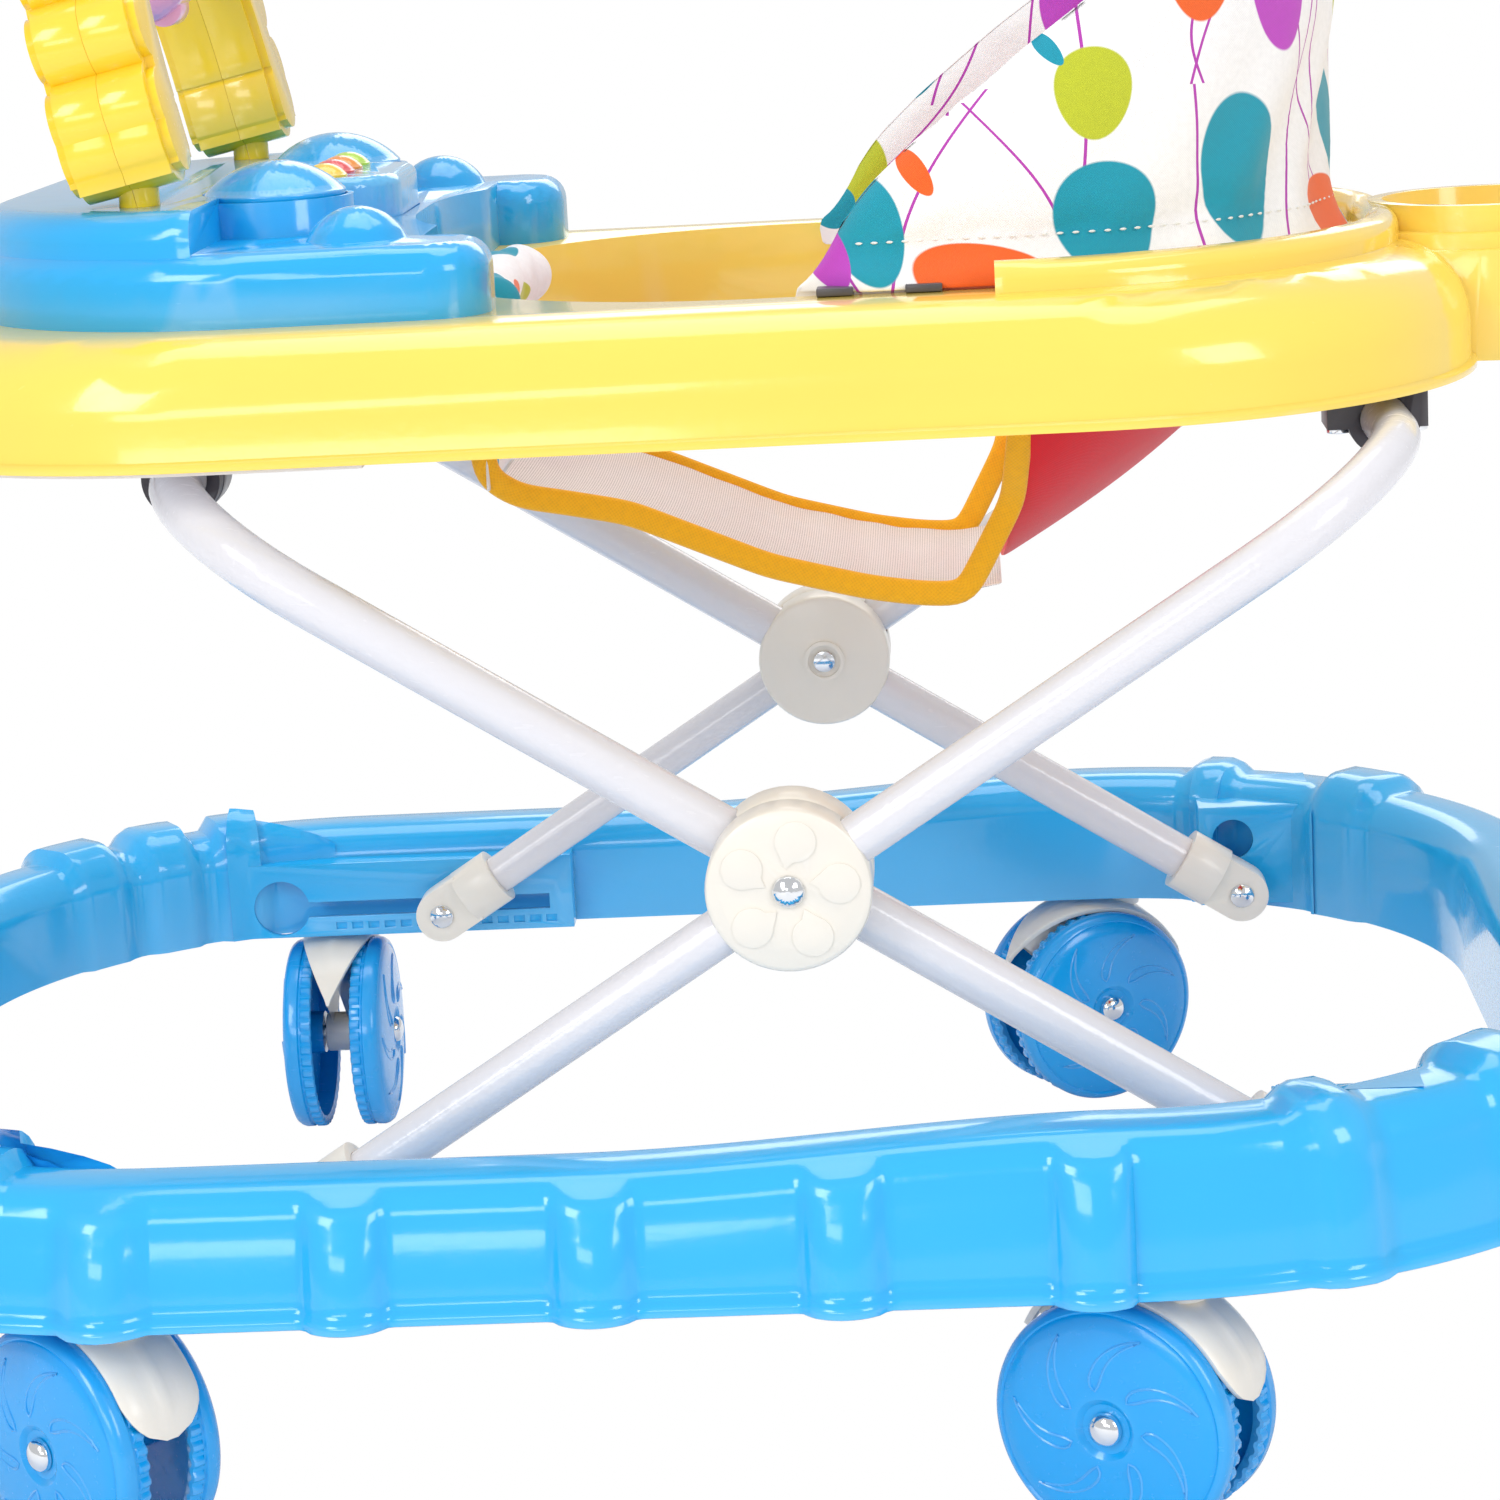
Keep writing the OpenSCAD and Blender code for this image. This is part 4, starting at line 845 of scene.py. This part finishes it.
TOP_X = (54, 58, 64, 70, 78, 92, 108, 126, 144, 160, 176, 192, 206, 216)
TOP_Z = (1.5, 5, 13, 24, 34, 47, 60, 74, 87, 99, 118, 154, 184, 194)


def back_height(s):
    x = seat_path(s, 9.0)[0]
    return float(np.interp(x, TOP_X, TOP_Z))


def cloth_ripple(s, z):
    """How far the seat back's cloth stands out there: broad waves, and gathers pulled up from the hem."""
    wave = 1.5 * noise.noise(Vector((s * 0.018, z * 0.012, 4.0))) * smooth_step(z / 30)
    return wave + 1.1 * math.sin(s * 0.16 + z * 0.11) * math.exp(-(z / 46.0)) * smooth_step(z / 8)


def seat_back():
    length = 262.0
    stations = [-length + i * 2 * length / 130 for i in range(131)]
    rows, uv = [], []
    for s in stations:
        high = back_height(s)
        body = min(1.0, high / 30.0)
        section = []
        for k in range(22):
            f = k / 21
            z = 1.2 + (high - 1.2) * f
            flare = 9.0 * (1 - smooth_step(z / 16.0)) * body
            section.append((4.6 * body * math.cos(0.5 * math.pi * f ** 4) + flare, z))
        section.append((0.0, high + 0.6))
        for k in range(25):
            f = 1 - k / 24
            z = -8.0 + (high + 8.0) * f
            section.append((-4.6 * body * math.cos(0.5 * math.pi * f ** 4), z))
        section += [(3.4 * body, -8.0), (3.8 * body, 0.4), (12.8 * body, 0.6)]
        section.append(section[0])
        row, marks = [], []
        for out, z in section:
            x, y, nx, ny = seat_path(s, 9.0)
            out += cloth_ripple(s, z)
            row.append((x + nx * out, y + ny * out, DECK + z))
            marks.append((s * MM, z * MM))
        rows.append(row)
        uv.append(marks)
    piece = loft("padded_seat_back", rows, uv=uv)
    close_ends(piece)
    place(piece, ON_TRAY)
    puff(piece, 3.0, 7.0, lambda z: z < TRAY.z + (DECK + 14) * MM)
    apply(piece, "SUBSURF", levels=1, render_levels=1)
    finish_piece(piece, "tray", "printed_back", ("seat_back",), 60)
    return piece


def puff(piece, pressure, cap, keep):
    """Inflates a closed cloth form a little by simulation; no point moves more than cap mm."""
    before = np.zeros(len(piece.data.vertices) * 3, np.float32)
    piece.data.vertices.foreach_get("co", before)
    before = before.reshape(-1, 3)
    only(piece)
    pins = piece.vertex_groups.new(name="held")
    pins.add([v.index for v in piece.data.vertices if keep(v.co.z)], 1.0, "REPLACE")
    cloth = piece.modifiers.new("cloth", "CLOTH")
    cloth.settings.quality = 6
    cloth.settings.mass = 0.3
    cloth.settings.tension_stiffness = cloth.settings.compression_stiffness = 22
    cloth.settings.shear_stiffness, cloth.settings.bending_stiffness = 10, 0.6
    cloth.settings.use_pressure = True
    cloth.settings.uniform_pressure_force = pressure
    cloth.settings.effector_weights.gravity = 0
    cloth.collision_settings.use_collision = False
    cloth.settings.vertex_group_mass = "held"
    for number in range(1, 21):
        scene.frame_set(number)
    bpy.ops.object.modifier_apply(modifier=cloth.name)
    scene.frame_set(1)
    piece.vertex_groups.clear()
    after = np.zeros(before.size, np.float32)
    piece.data.vertices.foreach_get("co", after)
    moved = after.reshape(-1, 3) - before
    size = np.maximum(np.linalg.norm(moved, axis=1, keepdims=True), 1e-9)
    moved *= np.minimum(1.0, cap * MM / size)
    piece.data.vertices.foreach_set("co", (before + moved).reshape(-1))


def topstitch(name, spots, body):
    """A row of short raised stitches through the given points: (place, way along, way out), mm."""
    made = []
    for here, along, out in spots:
        along, out = Vector(along).normalized(), Vector(out).normalized()
        across = along.cross(out)
        rows = []
        for i in range(5):
            t = -1 + i / 2
            middle = Vector(here) + along * (1.25 * t) + out * (0.30 * (1 - t * t) - 0.08)
            size = 0.42 * math.sqrt(max(0.0, 1 - t * t)) + 0.02
            rows.append([tuple(middle + across * (size * math.cos(a)) + out * (size * 0.7 * math.sin(a)))
                         for a in [2 * math.pi * j / 6 for j in range(6)] + [0.0]])
        made.append(rows)
    first = [loft("stitch", rows) for rows in made]
    piece = place(join(first, name), ON_TRAY)
    return finish_piece(piece, body, "stitch_thread", (), 60)


def surface_rows(across_count, along_count, spot):
    return [[spot(i / (across_count - 1) * 2 - 1, j / (along_count - 1)) for i in range(across_count)]
            for j in range(along_count)]


def cloth_sheet(name, rows, finish, node, thickness=1.2):
    piece = loft(name, rows, thickness=thickness)
    place(piece, ON_TRAY)
    apply(piece, "SUBSURF", levels=1, render_levels=1)
    finish_piece(piece, "tray", finish, (node,), 60)
    return piece


def bucket_front(t):
    a = t * math.pi / 2
    return Vector((117 + 12 * abs(t) ** 1.5, 91 * math.sin(a), -69 + 88 * (1 - math.cos(a))))


def seat_bucket():
    def spot(t, f):
        front = bucket_front(t)
        x, y, nx, ny = seat_path(-t * 176.0, 7.5)
        back = Vector((x, y, 32.0))
        here = front.lerp(back, f)
        belly = math.sin(math.pi * f) * (1 - 0.6 * abs(t))
        fold = 0.8 * math.sin(9 * f + 5 * t) * math.sin(math.pi * f) * abs(t)
        here += Vector((0.55, 0.3 * t, -0.8)) * (9.0 * belly) + Vector((0, fold, 0))
        return tuple(here)
    rows = surface_rows(61, 31, spot)
    cloth_sheet("red_seat_bucket", rows, "red_cloth", "seat_bucket")


SLING = ((-58, -27), (-50, -30), (-36, -33), (-12, -38), (36, -59), (70, -68), (88, -71), (104, -72), (117, -70))


def sling_at(f):
    where = f * (len(SLING) - 1)
    i = min(int(where), len(SLING) - 2)
    a, b = SLING[i], SLING[i + 1]
    k = where - i
    return a[0] + (b[0] - a[0]) * k, a[1] + (b[1] - a[1]) * k


def crotch_sling():
    def spot(t, f):
        x, z = sling_at(f)
        dip = 4.0 * (1 - t * t) * math.sin(math.pi * min(1.0, f * 1.1))
        ripple = 0.5 * math.sin(x * 0.35 + 2 * t) * math.sin(math.pi * f)
        return x, 64.5 * t, z - dip + ripple + 1.0
    cloth_sheet("mesh_crotch_sling", surface_rows(41, 45, spot), "mesh_cloth", "crotch_sling",
                thickness=0.9)


def tape(path, half_width, half_thick):
    """A flat folded tape along a path of (x, y, z) points, its face to the side."""
    points = [Vector(p) for p in path]
    rows = []
    for i, here in enumerate(points):
        along = (points[min(i + 1, len(points) - 1)] - points[max(i - 1, 0)]).normalized()
        side = Vector((0, 1, 0))
        wide = along.cross(side).normalized()
        thick = wide.cross(along).normalized()
        w, h = half_width, half_thick
        rows.append([tuple(here + wide * (w * a) + thick * (h * b)) for a, b in
                     ((-1, 0.3), (-0.8, 1), (-0.3, 1.15), (0.3, 1.15), (0.8, 1), (1, 0.3), (1, -0.3),
                      (0.8, -1), (0.3, -1.15), (-0.3, -1.15), (-0.8, -1), (-1, -0.3), (-1, 0.3))])
    return rows


def smooth_points(points, count):
    """Points evenly along a smooth curve through the given ones."""
    pts = np.array(points, float)
    away = run_of(pts)
    steps = np.linspace(0, away[-1], count)
    line = np.stack([np.interp(steps, away, pts[:, k]) for k in range(3)], axis=1)
    for _ in range(6):
        line[1:-1] = (line[:-2] + 2 * line[1:-1] + line[2:]) / 4
    return [tuple(p) for p in line]


def leg_bindings():
    made = []
    for side in (-1, 1):
        path = [(-60, 79 * side, 6), (-61, 78 * side, -8), (-60, 75 * side, -22), (-50, 69 * side, -30)]
        path += [(x, 66 * side, z) for x, z in SLING[2:8]]
        for k in range(0, 9):
            t = 0.54 + 0.46 * k / 8
            p = bucket_front(t)
            path.append((p.x, side * (p.y + 0.5), p.z))
        line = smooth_points(path, 120)
        rows = tape(line, 4.4, 1.3)
        piece = loft("binding", rows)
        close_ends(piece)
        made.append(piece)
    piece = place(join(made, "leg_edge_bindings"), ON_TRAY)
    finish_piece(piece, "tray", "yellow_tape", ("leg_bindings",), 50)


def front_bib():
    def spot(t, f):
        wide = 78 - 46 * smooth_step((f - 0.35) / 0.5)
        z = -27 + 50 * f
        bow = 1.4 * math.sin(6 * t + 3 * f)
        return -59.8 + 0.4 * bow, wide * t, z
    cloth_sheet("printed_front_bib", surface_rows(41, 21, spot), "printed_small", "front_bib")


def front_roll():
    rows = []
    centre_x, radius = 43.0, 107.0
    stations = []
    for i in range(25):
        a = math.radians(156 + 24 * i / 24)
        stations.append((centre_x + radius * math.cos(a), -18 - radius * math.sin(a), math.cos(a), -math.sin(a)))
    stations += [(centre_x - radius, y, -1.0, 0.0) for y in (-12, -6, 0, 6, 12)]
    stations += [(x, -y, nx, -ny) for x, y, nx, ny in reversed(stations[:25])]
    count = len(stations)
    for i, (x, y, nx, ny) in enumerate(stations):
        f = i / (count - 1)
        end = min(1.0, math.sqrt(max(0.0, min(f, 1 - f) / 0.055)))
        radius_here = (11.2 + 0.5 * math.sin(i * 0.9)) * max(0.04, end)
        row = []
        for j in range(25):
            a = 2 * math.pi * (j % 24) / 24
            crease = 1 - 0.05 * math.cos(3 * a + 0.5 * i)
            row.append((x + nx * radius_here * crease * math.cos(a), y + ny * radius_here * crease * math.cos(a),
                        DECK - 7 + radius_here * crease * math.sin(a)))
        rows.append(row)
    piece = loft("printed_front_roll", rows)
    place(piece, ON_TRAY)
    apply(piece, "SUBSURF", levels=1, render_levels=1)
    finish_piece(piece, "tray", "printed_small", ("front_pad",), 60)


seat_back()
seat_bucket()
crotch_sling()
leg_bindings()
front_bib()
front_roll()
stitches, hem = [], 16.0                                   # the hem's stitching, mm above the deck
for number in range(-52, 53):
    s = number * 5.0
    if back_height(s) > hem + 10:
        x, y, nx, ny = seat_path(s, 9.0)
        out = 5.1 + cloth_ripple(s, hem)
        stitches.append(((x + nx * out, y + ny * out, DECK + hem), (-ny, nx, 0), (nx, ny, 0)))
topstitch("hem_stitches", stitches, "tray")


# ------------------------------------------------------------------ stage and end

deselect()
bpy.ops.mesh.primitive_plane_add(size=14, location=(0, 0, -0.0005))
floor = bpy.context.object
floor.name = "studio_floor"
made, tree, main = shader("studio_paper")
paper = use(tree, SKIN, Color=(0.93, 0.93, 0.94, 1), Gloss=0.75, Shade=0.01, Peel=0.2, Wear=0.0)
dress(tree, main, paper, 0.05)
glow = add(tree, "Emission", {"Color": (1, 1, 1, 1), "Strength": 1.0})
seen = add(tree, "LightPath").outputs["Is Camera Ray"]
mixed = add(tree, "MixShader", {0: seen, 1: main.outputs[0], 2: glow.outputs[0]})
tree.links.new(mixed.outputs[0], tree.nodes["Material Output"].inputs["Surface"])
floor.data.materials.append(made)
